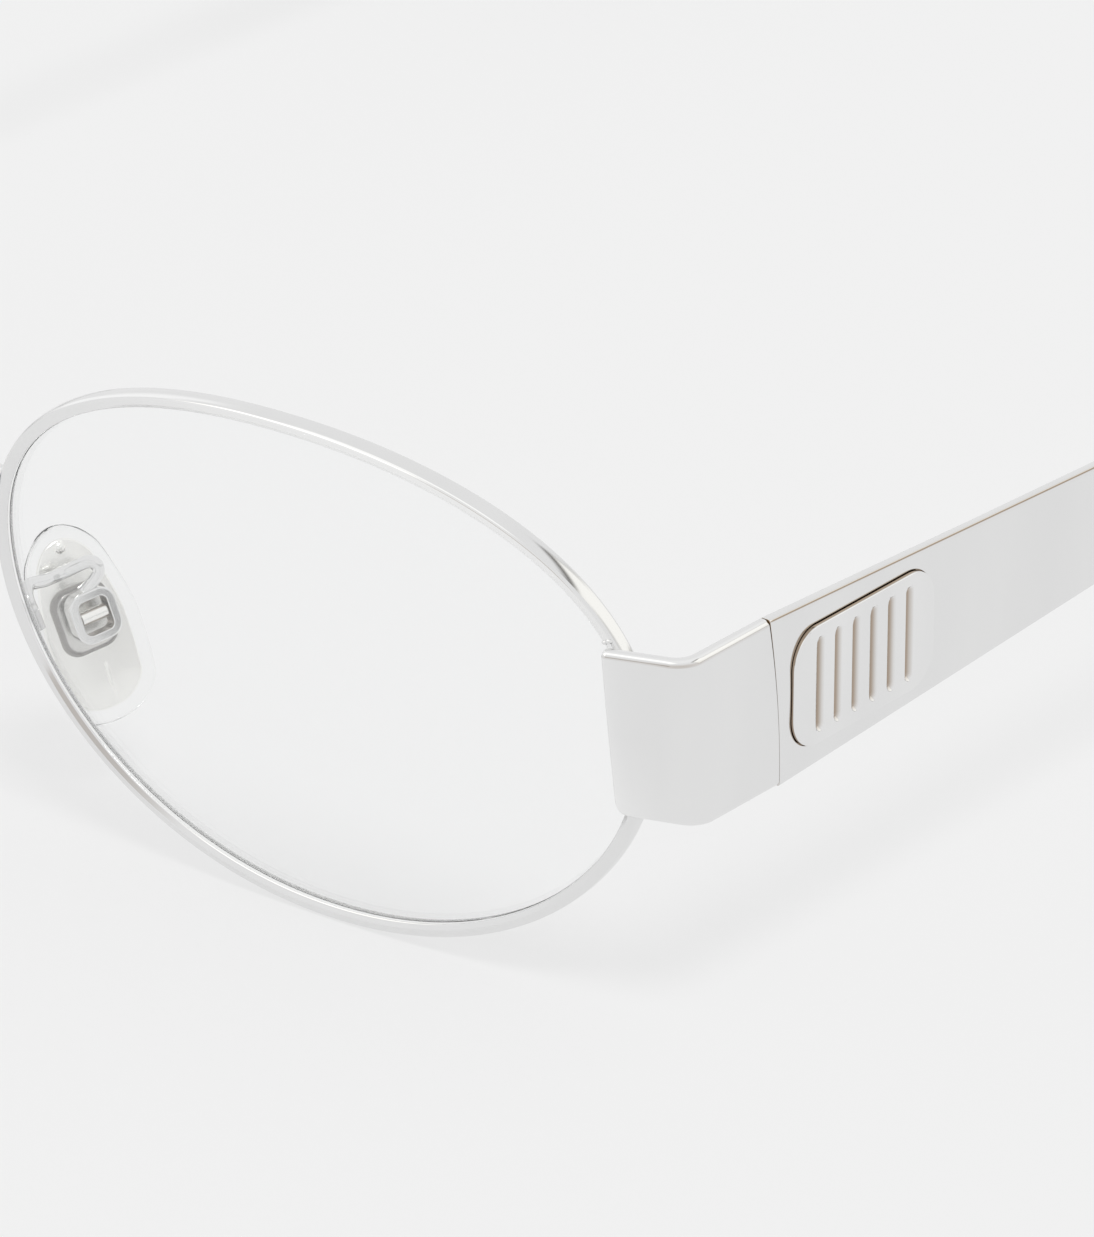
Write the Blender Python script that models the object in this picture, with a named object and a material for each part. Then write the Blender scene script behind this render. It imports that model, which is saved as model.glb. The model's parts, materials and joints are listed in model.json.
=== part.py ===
"""Oval metal eyeglasses, standing open on a table, in metres with +Z up.

The front faces -Y and the wearer's left is +X. The origin is the middle of the
footprint, on the table. The left half is modelled in a working frame whose
origin is the middle of the left eye, and the right half is its mirror image.
"""

import math

import bmesh
import bpy
import numpy as np
from mathutils import Matrix, Vector

mm = 0.001

# Clearances: brazed and seated pieces, moving pieces, and the seam of the temple
SEAT_GAP = 0.15 * mm
RUNNING_GAP = 0.12 * mm
SEAM_GAP = 0.15 * mm

# Eye shape: an oval a little wider above its middle, with its ends lifted
EYE_WIDTH = 54.0 * mm
EYE_HEIGHT = 38.8 * mm
EYE_SQUARENESS = 2.08
EYE_UPPER_WIDENING = 0.059
EYE_TEMPLE_FULLNESS = 0.013
EYE_END_LIFT = 0.37 * mm
NOSE_GAP = 17.0 * mm
BASE_RADIUS = 106.0 * mm
PANTOSCOPIC_TILT = math.radians(7.4)
FACE_WRAP = math.radians(3.4)

# Eyewire and lens
RIM_FACE = 1.04 * mm
RIM_DEPTH = 1.53 * mm
RIM_LIP_SETBACK = 0.30 * mm
RIM_EDGE_ROUND = 0.10 * mm
GROOVE_DEPTH = 0.40 * mm
GROOVE_WIDTH = 0.66 * mm
LENS_THICKNESS = 1.20 * mm
LENS_BEVEL = 0.22 * mm
RIM_SPLIT = 0.30 * mm
SPLIT_HEIGHT = 3.0 * mm

# Bridge
BRIDGE_HEIGHT = 5.9 * mm
BRIDGE_RISE = 2.2 * mm
BRIDGE_ARCH_FORWARD = 1.3 * mm
BRIDGE_DIAMETER = 1.9 * mm

# End piece: a wide bent strap over the eyewire joint
STRAP_HEIGHT = 12.6 * mm
STRAP_THICKNESS = 1.0 * mm
STRAP_OVERLAP = 1.65 * mm
STRAP_CENTRE_HEIGHT = 2.85 * mm
STRAP_SWEEP = math.radians(22.0)
STRAP_FRONT_LENGTH = 6.1 * mm
STRAP_SIDE_LENGTH = 8.85 * mm
STRAP_BEND_RADIUS = 2.4 * mm
STRAP_EDGE_ROUND = 0.50 * mm
STRAP_DROP = 0.30 * mm
FRONT_CROWN = 0.10 * mm
SIDE_CROWN = 0.25 * mm

# Closing blocks that clamp the split eyewire, and their screw
BLOCK_WIDTH = 2.0 * mm
BLOCK_DEPTH = 2.0 * mm
BLOCK_HEIGHT = 2.5 * mm
BLOCK_SETBACK = 0.9 * mm
BLOCK_CORNER = 0.25 * mm
CLOSING_SCREW_DIAMETER = 0.9 * mm
CLOSING_HEAD_DIAMETER = 1.5 * mm
CLOSING_HEAD_HEIGHT = 0.5 * mm

# Temple: blade, core under the tip, and ear bend
TEMPLE_LENGTH = 145.0 * mm
TEMPLE_SPLAY = math.radians(2.0)
TEMPLE_SLOPE = math.radians(0.6)
SEAM_TILT = math.radians(5.5)
SEAM_TILT_EASE = 25.0 * mm
BLADE_END = 93.0 * mm
BLADE_TAPER_END = 75.0 * mm
BLADE_TAPER_EASE = 1.0 * mm
BLADE_END_HEIGHT = 5.0 * mm
BLADE_END_THICKNESS = 0.75 * mm
BLADE_THINNING = 22.0 * mm
BLADE_ARRIS = 0.08 * mm
CORE_HEIGHT = 2.8 * mm
CORE_THICKNESS = 0.70 * mm
CORE_EDGE_ROUND = 0.20 * mm
CORE_SETBACK = 7.0 * mm
EAR_BEND_ANGLE = math.radians(31.0)
EAR_BEND_RADIUS = 24.0 * mm
TIP_INWARD = 2.5 * mm
TIP_START_HEIGHT = 5.4 * mm
TIP_START_THICKNESS = 2.3 * mm
TIP_END_HEIGHT = 6.6 * mm
TIP_END_THICKNESS = 2.9 * mm

# Inlay in the side of each temple
INLAY_LENGTH = 15.6 * mm
INLAY_HEIGHT = 8.6 * mm
INLAY_CORNER = 2.6 * mm
INLAY_START = 1.6 * mm
INLAY_RECESS = 0.38 * mm
INLAY_PROUD = 0.22 * mm
INLAY_GROOVES = 6
INLAY_GROOVE_WIDTH = 0.30 * mm
INLAY_GROOVE_DEPTH = 0.18 * mm
INLAY_BORDER = 0.9 * mm

# Three-barrel hinge
BARREL_DIAMETER = 2.5 * mm
BARREL_BORE = 1.35 * mm
OUTER_BARREL_HEIGHT = 1.5 * mm
MIDDLE_BARREL_HEIGHT = 2.0 * mm
LEAF_LENGTH = 3.3 * mm
LEAF_THICKNESS = 0.70 * mm
LEAF_SINK = 0.08 * mm
HINGE_SCREW_DIAMETER = 1.10 * mm
HINGE_HEAD_DIAMETER = 1.9 * mm
HINGE_HEAD_HEIGHT = 0.55 * mm
SCREW_SLOT_WIDTH = 0.28 * mm
SCREW_SLOT_DEPTH = 0.22 * mm

# Nose pad, its insert and lug, and the arm with its box
PAD_LENGTH = 14.2 * mm
PAD_WIDTH = 7.8 * mm
PAD_THICKNESS = 2.5 * mm
PAD_LEVEL = -6.45 * mm
PAD_NOSEWARD = 1.89 * mm
PAD_BEHIND = 6.64 * mm
PAD_DROP = 0.85 * mm
PAD_SPLAY = math.radians(22.0)
PAD_LEAN = math.radians(21.0)
PAD_BACK_LEAN = math.radians(3.5)
PAD_TAPER = 0.10
PAD_FACE_INSET = 2.2 * mm
PAD_BACK_INSET = 1.8 * mm
PAD_SHOULDER_INSET = 0.8 * mm
PAD_WINDOW = 3.4 * mm
INSERT_MARGIN = 1.3 * mm
INSERT_THICKNESS = 0.35 * mm
BOX_WIDTH = 3.3 * mm
BOX_HEIGHT = 3.6 * mm
BOX_WALL = 0.62 * mm
BOX_DEPTH = 1.35 * mm
BOX_CORNER = 0.95 * mm
BOX_STANDOFF = 0.45 * mm
LUG_BAR_DIAMETER = 0.80 * mm
LUG_POST_WIDTH = 1.0 * mm
ARM_DIAMETER = 0.90 * mm
ARM_FOOT_TOP = -3.6 * mm
ARM_FOOT_HEIGHT = 2.2 * mm
ARM_STEP_NOSEWARD = 0.8 * mm
ARM_STEP_BACK = 2.7 * mm
ARM_LOOP_WIDTH = 1.1 * mm
ARM_LOOP_RISE = 1.75 * mm

# Fineness of the round shapes
EYE_SEGMENTS = 72
LENS_RINGS = 2
BEND_SEGMENTS = 6
CROWN_SEGMENTS = 4
ROUND_SEGMENTS = 3
BARREL_SEGMENTS = 16

METAL = "polished_silver_metal"
STEEL = "screw_steel"
CLEAR = "clear_lens"
SILICONE = "clear_silicone"
ACETATE = "smoke_acetate"


def clear_scene():
    for old in list(bpy.data.objects):
        bpy.data.objects.remove(old, do_unlink=True)


def make_materials():
    """Name, colour, metallic, roughness, transmission."""
    for name, colour, metallic, roughness, transmission in (
        (METAL, (0.86, 0.86, 0.85), 1.0, 0.10, 0.0),
        (STEEL, (0.62, 0.62, 0.62), 1.0, 0.25, 0.0),
        (CLEAR, (0.97, 0.98, 0.98), 0.0, 0.02, 0.95),
        (SILICONE, (0.93, 0.94, 0.94), 0.0, 0.25, 0.80),
        (ACETATE, (0.30, 0.31, 0.33), 0.0, 0.12, 0.60),
    ):
        material = bpy.data.materials.new(name)
        material.use_nodes = True
        shader = material.node_tree.nodes["Principled BSDF"]
        shader.inputs["Base Color"].default_value = (*colour, 1.0)
        shader.inputs["Metallic"].default_value = metallic
        shader.inputs["Roughness"].default_value = roughness
        shader.inputs["Transmission Weight"].default_value = transmission


def make_collection(name, hidden=False):
    collection = bpy.data.collections.new(name)
    bpy.context.scene.collection.children.link(collection)
    collection.hide_render = hidden
    return collection


clear_scene()
make_materials()
PARTS = make_collection("oval_eyeglasses")
CUTTERS = make_collection("cutters", hidden=True)


def add_object(name, mesh, material):
    """A new part from a mesh, shaded smooth but for its sharp edges."""
    part = bpy.data.objects.new(name, mesh)
    PARTS.objects.link(part)
    mesh.materials.clear()
    mesh.materials.append(bpy.data.materials[material])
    mesh.shade_smooth()
    mesh.set_sharp_from_angle(angle=math.radians(35))
    return part


def mesh_from_bmesh(name, shape):
    bmesh.ops.recalc_face_normals(shape, faces=shape.faces)
    mesh = bpy.data.meshes.new(name)
    shape.to_mesh(mesh)
    shape.free()
    return mesh


def loft(name, rings):
    """A closed solid through a row of rings with like counts of points, capped at both ends."""
    rings = np.asarray(rings, float)
    stations, around, _ = rings.shape
    shape = bmesh.new()
    rows = [[shape.verts.new(point) for point in ring] for ring in rings]
    for first, second in zip(rows, rows[1:]):
        for i in range(around):
            j = (i + 1) % around
            shape.faces.new((first[i], first[j], second[j], second[i]))
    shape.faces.new(rows[0])
    shape.faces.new(rows[-1][::-1])
    bmesh.ops.remove_doubles(shape, verts=shape.verts, dist=1e-7)
    bmesh.ops.dissolve_degenerate(shape, edges=shape.edges, dist=1e-7)
    return mesh_from_bmesh(name, shape)


def box_mesh(name, size, matrix, corner=0.0):
    shape = bmesh.new()
    bmesh.ops.create_cube(shape, size=1.0, matrix=Matrix.Diagonal((*size, 1.0)))
    if corner:
        bmesh.ops.bevel(
            shape, geom=shape.edges, offset=corner, segments=2, profile=0.5, affect="EDGES"
        )
    bmesh.ops.transform(shape, matrix=matrix, verts=shape.verts)
    return mesh_from_bmesh(name, shape)


def cylinder_mesh(name, diameter, height, matrix, segments=BARREL_SEGMENTS):
    shape = bmesh.new()
    bmesh.ops.create_cone(
        shape,
        cap_ends=True,
        segments=segments,
        radius1=diameter / 2,
        radius2=diameter / 2,
        depth=height,
        matrix=matrix,
    )
    return mesh_from_bmesh(name, shape)


def rounded_plate(name, width, height, corner, depth, matrix):
    """A flat plate in the matrix's X and Y with round corners, from a filled 2D curve."""
    curve = bpy.data.curves.new(name, "CURVE")
    curve.dimensions = "2D"
    curve.fill_mode = "BOTH"
    curve.extrude = depth / 2
    spline = curve.splines.new("POLY")
    points = []
    for quarter in range(4):
        centre_x = (width / 2 - corner) * (1 if quarter in (0, 3) else -1)
        centre_y = (height / 2 - corner) * (1 if quarter in (0, 1) else -1)
        for step in range(5):
            angle = math.radians(90 * quarter + 22.5 * step)
            points.append(
                (centre_x + corner * math.cos(angle), centre_y + corner * math.sin(angle), 0, 1)
            )
    spline.points.add(len(points) - 1)
    for point, place in zip(spline.points, points):
        point.co = place
    spline.use_cyclic_u = True
    return mesh_of_curve(name, curve, matrix)


def wire(name, points, diameter):
    """A round wire with flat ends along a smooth curve through the given points."""
    curve = bpy.data.curves.new(name, "CURVE")
    curve.dimensions = "3D"
    curve.bevel_depth = diameter / 2
    curve.bevel_resolution = 2
    curve.use_fill_caps = True
    spline = curve.splines.new("POLY")
    smooth = smooth_path(points)
    spline.points.add(len(smooth) - 1)
    for point, place in zip(spline.points, smooth):
        point.co = (*place, 1.0)
    return mesh_of_curve(name, curve, Matrix.Identity(4))


def mesh_of_curve(name, curve, matrix):
    """The curve's evaluated mesh with its caps welded, moved by the matrix."""
    guide = bpy.data.objects.new(name + "_curve", curve)
    CUTTERS.objects.link(guide)
    bpy.context.view_layer.update()
    evaluated = guide.evaluated_get(bpy.context.evaluated_depsgraph_get())
    shape = bmesh.new()
    shape.from_mesh(bpy.data.meshes.new_from_object(evaluated))
    bmesh.ops.remove_doubles(shape, verts=shape.verts, dist=1e-7)
    bmesh.ops.transform(shape, matrix=matrix, verts=shape.verts)
    bpy.data.objects.remove(guide, do_unlink=True)
    return mesh_from_bmesh(name, shape)


def smooth_path(points, steps=4):
    """Catmull-Rom curve through the points, with a few steps between each two."""
    points = np.array([tuple(p) for p in points], float)
    padded = np.vstack([2 * points[0] - points[1], points, 2 * points[-1] - points[-2]])
    path = []
    for i in range(1, len(padded) - 2):
        before, start, end, after = padded[i - 1 : i + 3]
        for t in np.arange(steps) / steps:
            path.append(
                0.5
                * (
                    2 * start
                    + (end - before) * t
                    + (2 * before - 5 * start + 4 * end - after) * t**2
                    + (3 * start - before - 3 * end + after) * t**3
                )
            )
    path.append(points[-1])
    return np.array(path)


def combine(target, tools, operation):
    """Cut the tool meshes from the target mesh, or join them to it."""
    body = bpy.data.objects.new("body", target)
    CUTTERS.objects.link(body)
    for tool in tools:
        cutter = bpy.data.objects.new("tool", tool)
        CUTTERS.objects.link(cutter)
        boolean = body.modifiers.new("boolean", "BOOLEAN")
        boolean.operation = operation
        boolean.object = cutter
    bpy.context.view_layer.update()
    evaluated = body.evaluated_get(bpy.context.evaluated_depsgraph_get())
    result = bpy.data.meshes.new_from_object(evaluated)
    for helper in list(CUTTERS.objects):
        bpy.data.objects.remove(helper, do_unlink=True)
    return result


def cut(target, *tools):
    return combine(target, tools, "DIFFERENCE")


def join(target, *tools):
    return combine(target, tools, "UNION")


def basis(origin, x_axis, y_axis, z_axis):
    """Matrix whose columns are three axes and a place."""
    matrix = Matrix((x_axis, y_axis, z_axis)).transposed().to_4x4()
    matrix.translation = origin
    return matrix


def screw_mesh(name, shank_diameter, shank_length, head_diameter, head_height, matrix):
    """A cheese-head screw along the matrix's Z with its head on top, slotted across."""
    shank = cylinder_mesh(
        name,
        shank_diameter,
        shank_length + head_height / 2,
        matrix @ Matrix.Translation((0, 0, -shank_length / 2 + head_height / 4)),
    )
    head = cylinder_mesh(
        name, head_diameter, head_height, matrix @ Matrix.Translation((0, 0, head_height / 2))
    )
    slot = box_mesh(
        name,
        (2 * head_diameter, SCREW_SLOT_WIDTH, 2 * SCREW_SLOT_DEPTH),
        matrix @ Matrix.Translation((0, 0, head_height)),
    )
    return cut(join(head, shank), slot)


# The eye: everything on the eyewire is worked out in a plane that is tilted
# back at the bottom and wrapped back at the temple.
EYE_FRAME = Matrix.Rotation(FACE_WRAP, 4, "Z") @ Matrix.Rotation(PANTOSCOPIC_TILT, 4, "X")


def in_eye(points):
    """Points given across, back and up in the eye's plane, in the working frame."""
    turn = np.array(EYE_FRAME.to_3x3())
    return np.asarray(points, float) @ turn.T


def oval(angle):
    """The outer edge of the eyewire: a superellipse, wider above, fuller at the temple, ends lifted."""
    across = np.sign(np.cos(angle)) * np.abs(np.cos(angle)) ** (2 / EYE_SQUARENESS)
    up = np.sign(np.sin(angle)) * np.abs(np.sin(angle)) ** (2 / EYE_SQUARENESS)
    x = EYE_WIDTH / 2 * across * (1 + EYE_UPPER_WIDENING * up)
    z = EYE_HEIGHT / 2 * up * (1 + EYE_TEMPLE_FULLNESS * across) + EYE_END_LIFT * across**2
    return x, z


def inset_oval(angle, inset):
    """The oval moved inwards by the inset, along its normal."""
    step = 1e-4
    x, z = oval(angle)
    ahead, behind = oval(angle + step), oval(angle - step)
    along_x, along_z = ahead[0] - behind[0], ahead[1] - behind[1]
    length = np.hypot(along_x, along_z)
    return x - inset * along_z / length, z + inset * along_x / length


def sag(x, z):
    """How far the base curve lies behind the middle of the lens."""
    return (x**2 + z**2) / (2 * BASE_RADIUS)


def rim_profile():
    """Inset and depth of the eyewire's section, round from its front edge."""
    lip = RIM_FACE
    middle = (RIM_LIP_SETBACK + RIM_DEPTH) / 2
    half = GROOVE_WIDTH / 2
    return (
        (0.0, RIM_EDGE_ROUND),
        (RIM_EDGE_ROUND, 0.0),
        (0.62 * lip, 0.20 * RIM_LIP_SETBACK),
        (lip, RIM_LIP_SETBACK),
        (lip, middle - half),
        (lip - GROOVE_DEPTH, middle - half / 2),
        (lip - GROOVE_DEPTH, middle + half / 2),
        (lip, middle + half),
        (lip, RIM_DEPTH - RIM_EDGE_ROUND),
        (lip - RIM_EDGE_ROUND, RIM_DEPTH),
        (RIM_EDGE_ROUND, RIM_DEPTH),
        (0.0, RIM_DEPTH - RIM_EDGE_ROUND),
    )


def split_angle():
    """Where the eyewire is split, on its temple side."""
    angles = np.linspace(-0.5, 0.9, 2801)
    return float(np.interp(SPLIT_HEIGHT, oval(angles)[1], angles))


def eyewire():
    """The grooved eyewire: its section carried round the oval, open at the split."""
    start = split_angle()
    half_split = RIM_SPLIT / EYE_HEIGHT
    angles = np.linspace(start + half_split, start + 2 * math.pi - half_split, EYE_SEGMENTS + 1)
    edge_x, edge_z = oval(angles)
    curve = sag(edge_x, edge_z)
    points = []
    for inset, depth in rim_profile():
        x, z = inset_oval(angles, inset)
        points.append(np.stack([x, curve + depth, z], axis=-1))
    return loft("rim", in_eye(np.stack(points, axis=1)))


def lens():
    """A thin curved lens whose bevelled edge sits in the eyewire's groove."""
    angles = np.linspace(0, 2 * math.pi, EYE_SEGMENTS, endpoint=False)
    middle = (RIM_LIP_SETBACK + RIM_DEPTH) / 2
    front, back = middle - LENS_THICKNESS / 2, middle + LENS_THICKNESS / 2
    face_inset = RIM_FACE + SEAT_GAP
    edge_x, edge_z = oval(angles)
    sink = sag(edge_x, edge_z) - sag(*inset_oval(angles, face_inset))

    def ring(inset, depth, share):
        x, z = inset_oval(angles, inset)
        x, z = x * share, z * share
        return np.stack([x, sag(x, z) + sink * share**2 + depth, z], axis=-1)

    shares = np.linspace(0, 1, LENS_RINGS + 1)
    rings = [ring(face_inset, front, share) for share in shares]
    rings.append(ring(face_inset, middle - GROOVE_WIDTH / 4, 1.0))
    rings.append(ring(face_inset - LENS_BEVEL, middle, 1.0))
    rings.append(ring(face_inset, middle + GROOVE_WIDTH / 4, 1.0))
    rings += [ring(face_inset, back, share) for share in shares[::-1]]
    return loft("lens", in_eye(rings))


def bridge(half_gap):
    """A round wire that arches up and forward between the two eyewires."""
    angles = np.linspace(math.pi / 2, math.pi, 2001)
    angle = float(np.interp(-BRIDGE_HEIGHT, -oval(angles)[1], angles))
    x, z = oval(angle)
    end = Vector(in_eye((x, sag(x, z) + RIM_DEPTH / 2, z)))
    end.x -= SEAT_GAP + 0.4 * BRIDGE_DIAMETER * abs(z) / EYE_HEIGHT
    run = end.x + half_gap
    points = []
    for share in (0.0, 0.12, 0.35, 0.65, 1.0):
        lift = math.sin(share * math.pi / 2)
        points.append(
            (
                end.x - run * share,
                end.y - BRIDGE_ARCH_FORWARD * lift,
                end.z + BRIDGE_RISE * lift,
            )
        )
    points += [(-2 * half_gap - x, y, z) for x, y, z in points[-2::-1]]
    return wire("bridge", points, BRIDGE_DIAMETER)


# The strap and the blade share one section: a flat inner face, a crowned outer
# face, and edges that are rounded outside.
def strap_section(height, thickness, crown, edge_round):
    """Outward and upward places round the section, from the foot of the outer face."""
    half = height / 2
    points = []
    for share in np.linspace(-1, 1, CROWN_SEGMENTS + 1):
        up = share * (half - edge_round)
        points.append((-crown * share**2, up))
    corner_out = -crown - edge_round
    for step in range(1, ROUND_SEGMENTS + 1):
        angle = math.radians(90 * step / ROUND_SEGMENTS)
        points.append(
            (corner_out + edge_round * math.cos(angle), half - edge_round * (1 - math.sin(angle)))
        )
    points += [(-thickness, half), (-thickness, -half)]
    for step in range(ROUND_SEGMENTS, 0, -1):
        angle = math.radians(90 * step / ROUND_SEGMENTS)
        points.append(
            (corner_out + edge_round * math.cos(angle), -half + edge_round * (1 - math.sin(angle)))
        )
    return np.array(points)


def section_ring(place, outward, up, section):
    place, outward, up = (np.array(v, float) for v in (place, outward, up))
    return place + section[:, :1] * outward + section[:, 1:] * up


def tilted_up(tilt):
    """Upward direction that leans forward by the tilt."""
    return Vector((0, -math.sin(tilt), math.cos(tilt)))


TEMPLE_AHEAD = Vector((-math.sin(TEMPLE_SPLAY), math.cos(TEMPLE_SPLAY), 0))
TEMPLE_OUTWARD = Vector((math.cos(TEMPLE_SPLAY), math.sin(TEMPLE_SPLAY), 0))


def strap_start():
    """Where the strap's front edge lies: just before the eyewire, over its temple side."""
    slope = STRAP_SWEEP - FACE_WRAP
    x = EYE_WIDTH / 2 - STRAP_OVERLAP
    back_of_strap = sag(EYE_WIDTH / 2, 0) - SEAT_GAP
    y = back_of_strap - STRAP_THICKNESS / math.cos(slope) - STRAP_OVERLAP * math.tan(slope)
    return Vector(in_eye((x, y, STRAP_CENTRE_HEIGHT)))


def strap_path():
    """Place, outward direction and share of the way along the strap, from front to seam."""
    turn = math.pi / 2 + TEMPLE_SPLAY - STRAP_SWEEP
    shorter = STRAP_BEND_RADIUS * math.tan(turn / 2)
    heading = STRAP_SWEEP
    place = strap_start()
    stations = [(place.copy(), heading)]
    place += Vector((math.cos(heading), math.sin(heading), 0)) * (STRAP_FRONT_LENGTH - shorter)
    stations.append((place.copy(), heading))
    centre = place + Vector((-math.sin(heading), math.cos(heading), 0)) * STRAP_BEND_RADIUS
    for step in range(1, BEND_SEGMENTS + 1):
        heading = STRAP_SWEEP + turn * step / BEND_SEGMENTS
        radial = Vector((math.sin(heading), -math.cos(heading), 0))
        stations.append((centre + radial * STRAP_BEND_RADIUS, heading))
    last = stations[-1][0]
    ahead = Vector((math.cos(heading), math.sin(heading), 0))
    side = STRAP_SIDE_LENGTH - shorter
    stations += [(last + ahead * side * share, heading) for share in (0.33, 0.67, 1.0)]
    places = [s[0] for s in stations]
    lengths = np.cumsum([0.0] + [(b - a).length for a, b in zip(places, places[1:])])
    path = []
    for (place, heading), length in zip(stations, lengths):
        share = length / lengths[-1]
        outward = Vector((math.sin(heading), -math.cos(heading), 0))
        path.append((place - Vector((0, 0, STRAP_DROP * share)), outward, share))
    return path


def end_piece():
    """The bent strap: its section lofted along the path while its tilt and crown change."""
    rings = []
    for place, outward, share in strap_path():
        tilt = PANTOSCOPIC_TILT + (SEAM_TILT - PANTOSCOPIC_TILT) * share
        crown = FRONT_CROWN + (SIDE_CROWN - FRONT_CROWN) * share
        section = strap_section(STRAP_HEIGHT, STRAP_THICKNESS, crown, STRAP_EDGE_ROUND)
        rings.append(section_ring(place, outward, tilted_up(tilt), section))
    return loft("end_piece", rings)


SEAM = strap_path()[-1][0]


def blade_height(length):
    """Tall at the seam, then an even taper that eases into the narrow rear of the temple."""
    left = (STRAP_HEIGHT - BLADE_END_HEIGHT) * (1 - length / BLADE_TAPER_END)
    return BLADE_END_HEIGHT + (left + math.hypot(left, BLADE_TAPER_EASE)) / 2


def blade_thickness(length):
    """Full at the seam, then thinned from inside to an even spring blade."""
    share = min(length / BLADE_THINNING, 1.0)
    return STRAP_THICKNESS + (BLADE_END_THICKNESS - STRAP_THICKNESS) * share


def temple_bends(length):
    """How far the ear bend has turned at a length, and how much of the tip has passed."""
    bend = np.clip((length - ear_bend_start()) / EAR_BEND_RADIUS, 0, EAR_BEND_ANGLE)
    passed = np.clip((length - BLADE_END) / (TEMPLE_LENGTH - BLADE_END), 0, 1)
    return bend, passed


def ear_bend_start():
    """Length at which the ear bend begins, so that the tip's end reaches down to the table."""
    seam_height = SEAM.z + stand_height()
    slope = TEMPLE_SLOPE + EAR_BEND_ANGLE
    foot = TIP_END_HEIGHT / 2
    bend_drop = EAR_BEND_RADIUS * (math.cos(TEMPLE_SLOPE) - math.cos(slope))
    bend_length = EAR_BEND_RADIUS * EAR_BEND_ANGLE
    rounding = TIP_END_HEIGHT / 2
    straight_and_tail = TEMPLE_LENGTH - bend_length - rounding
    drop = seam_height - foot - bend_drop
    return (straight_and_tail * math.sin(slope) - drop) / (
        math.sin(slope) - math.sin(TEMPLE_SLOPE)
    )


def stand_height():
    """Height of the eye's middle above the table on which the eyewire's foot stands."""
    angles = np.linspace(math.pi, 2 * math.pi, 721)
    x, z = oval(angles)
    edge = np.stack([x, sag(x, z) + RIM_DEPTH, z], axis=-1)
    front = np.stack([x, sag(x, z), z], axis=-1)
    return -min(in_eye(edge)[:, 2].min(), in_eye(front)[:, 2].min())


def temple_stations(lengths):
    """Outer face's middle line, outward and up directions at each length from the seam."""
    fine = np.linspace(0, TEMPLE_LENGTH, 1451)
    bend, passed = temple_bends(fine)
    slope = TEMPLE_SLOPE + bend
    step = fine[1] - fine[0]
    along = np.concatenate([[0], np.cumsum(np.cos(slope)[1:] * step)])
    down = np.concatenate([[0], np.cumsum(np.sin(slope)[1:] * step)])
    inward = TIP_INWARD * passed**2
    stations = []
    for length in lengths:
        a, d, i, s = (np.interp(length, fine, row) for row in (along, down, inward, slope))
        settle = min(length / SEAM_TILT_EASE, 1.0)
        lean = SEAM_TILT * (1 - settle) - s * settle
        up = TEMPLE_AHEAD * -math.sin(lean) + Vector((0, 0, math.cos(lean)))
        face = SEAM - TEMPLE_OUTWARD * i + TEMPLE_AHEAD * a - Vector((0, 0, d))
        stations.append((face, TEMPLE_OUTWARD, up))
    return stations


def core_stations(lengths):
    """The same, on the middle of the blade's rear thickness."""
    shift = BLADE_END_THICKNESS / 2
    return [(face - out * shift, out, up) for face, out, up in temple_stations(lengths)]


def inlay_frame():
    """Place of the inlay on the blade's outer face: X back along the temple, Y up, Z out."""
    face, outward, _ = temple_stations([INLAY_START + INLAY_LENGTH / 2])[0]
    ahead = TEMPLE_AHEAD * math.cos(TEMPLE_SLOPE) - Vector((0, 0, math.sin(TEMPLE_SLOPE)))
    return basis(face, ahead, outward.cross(ahead), outward)


def core_lengths():
    return list(np.linspace(BLADE_END + 0.1 * SEAM_GAP, TEMPLE_LENGTH - CORE_SETBACK, 14))


def temple():
    """The blade, from the seam to its shoulder, and the narrow core that the tip covers."""
    taper = np.linspace(0, BLADE_TAPER_END, 8)[1:]
    blade_lengths = [SEAM_GAP, taper[0] / 2, *taper, 0.95 * BLADE_END, BLADE_END]
    rings = []
    for length, (face, outward, up) in zip(blade_lengths, temple_stations(blade_lengths)):
        crown = SIDE_CROWN * (1 - 0.7 * min(length / BLADE_TAPER_END, 1.0))
        thickness = blade_thickness(length)
        section = strap_section(blade_height(length), thickness, crown, BLADE_ARRIS)
        rings.append(section_ring(face, outward, up, section))
    for middle, outward, up in core_stations(core_lengths()):
        crown = 0.07 * CORE_THICKNESS
        section = strap_section(CORE_HEIGHT, CORE_THICKNESS, crown, CORE_EDGE_ROUND)
        rings.append(section_ring(middle + outward * CORE_THICKNESS / 2, outward, up, section))
    blade = loft("temple", rings)
    recess = rounded_plate(
        "recess",
        INLAY_LENGTH + 2 * SEAT_GAP,
        INLAY_HEIGHT + 2 * SEAT_GAP,
        INLAY_CORNER + SEAT_GAP,
        2 * INLAY_RECESS,
        inlay_frame(),
    )
    return cut(blade, recess)


def temple_inlay():
    """A plain rounded plate with upright grooves, set in the blade's recess."""
    thickness = INLAY_RECESS - SEAT_GAP + INLAY_PROUD
    frame = inlay_frame()
    plate = rounded_plate(
        "inlay",
        INLAY_LENGTH,
        INLAY_HEIGHT,
        INLAY_CORNER,
        thickness,
        frame @ Matrix.Translation((0, 0, INLAY_PROUD - thickness / 2)),
    )
    pitch = (INLAY_LENGTH - 2 * INLAY_BORDER) / (INLAY_GROOVES + 1)
    grooves = []
    for i in range(INLAY_GROOVES):
        across = pitch * (i - (INLAY_GROOVES - 1) / 2)
        size = (INLAY_GROOVE_WIDTH, INLAY_HEIGHT - 2 * INLAY_BORDER, 2 * INLAY_GROOVE_DEPTH)
        place = frame @ Matrix.Translation((across, 0, INLAY_PROUD))
        grooves.append(box_mesh("groove", size, place))
    return cut(plate, *grooves)


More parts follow.
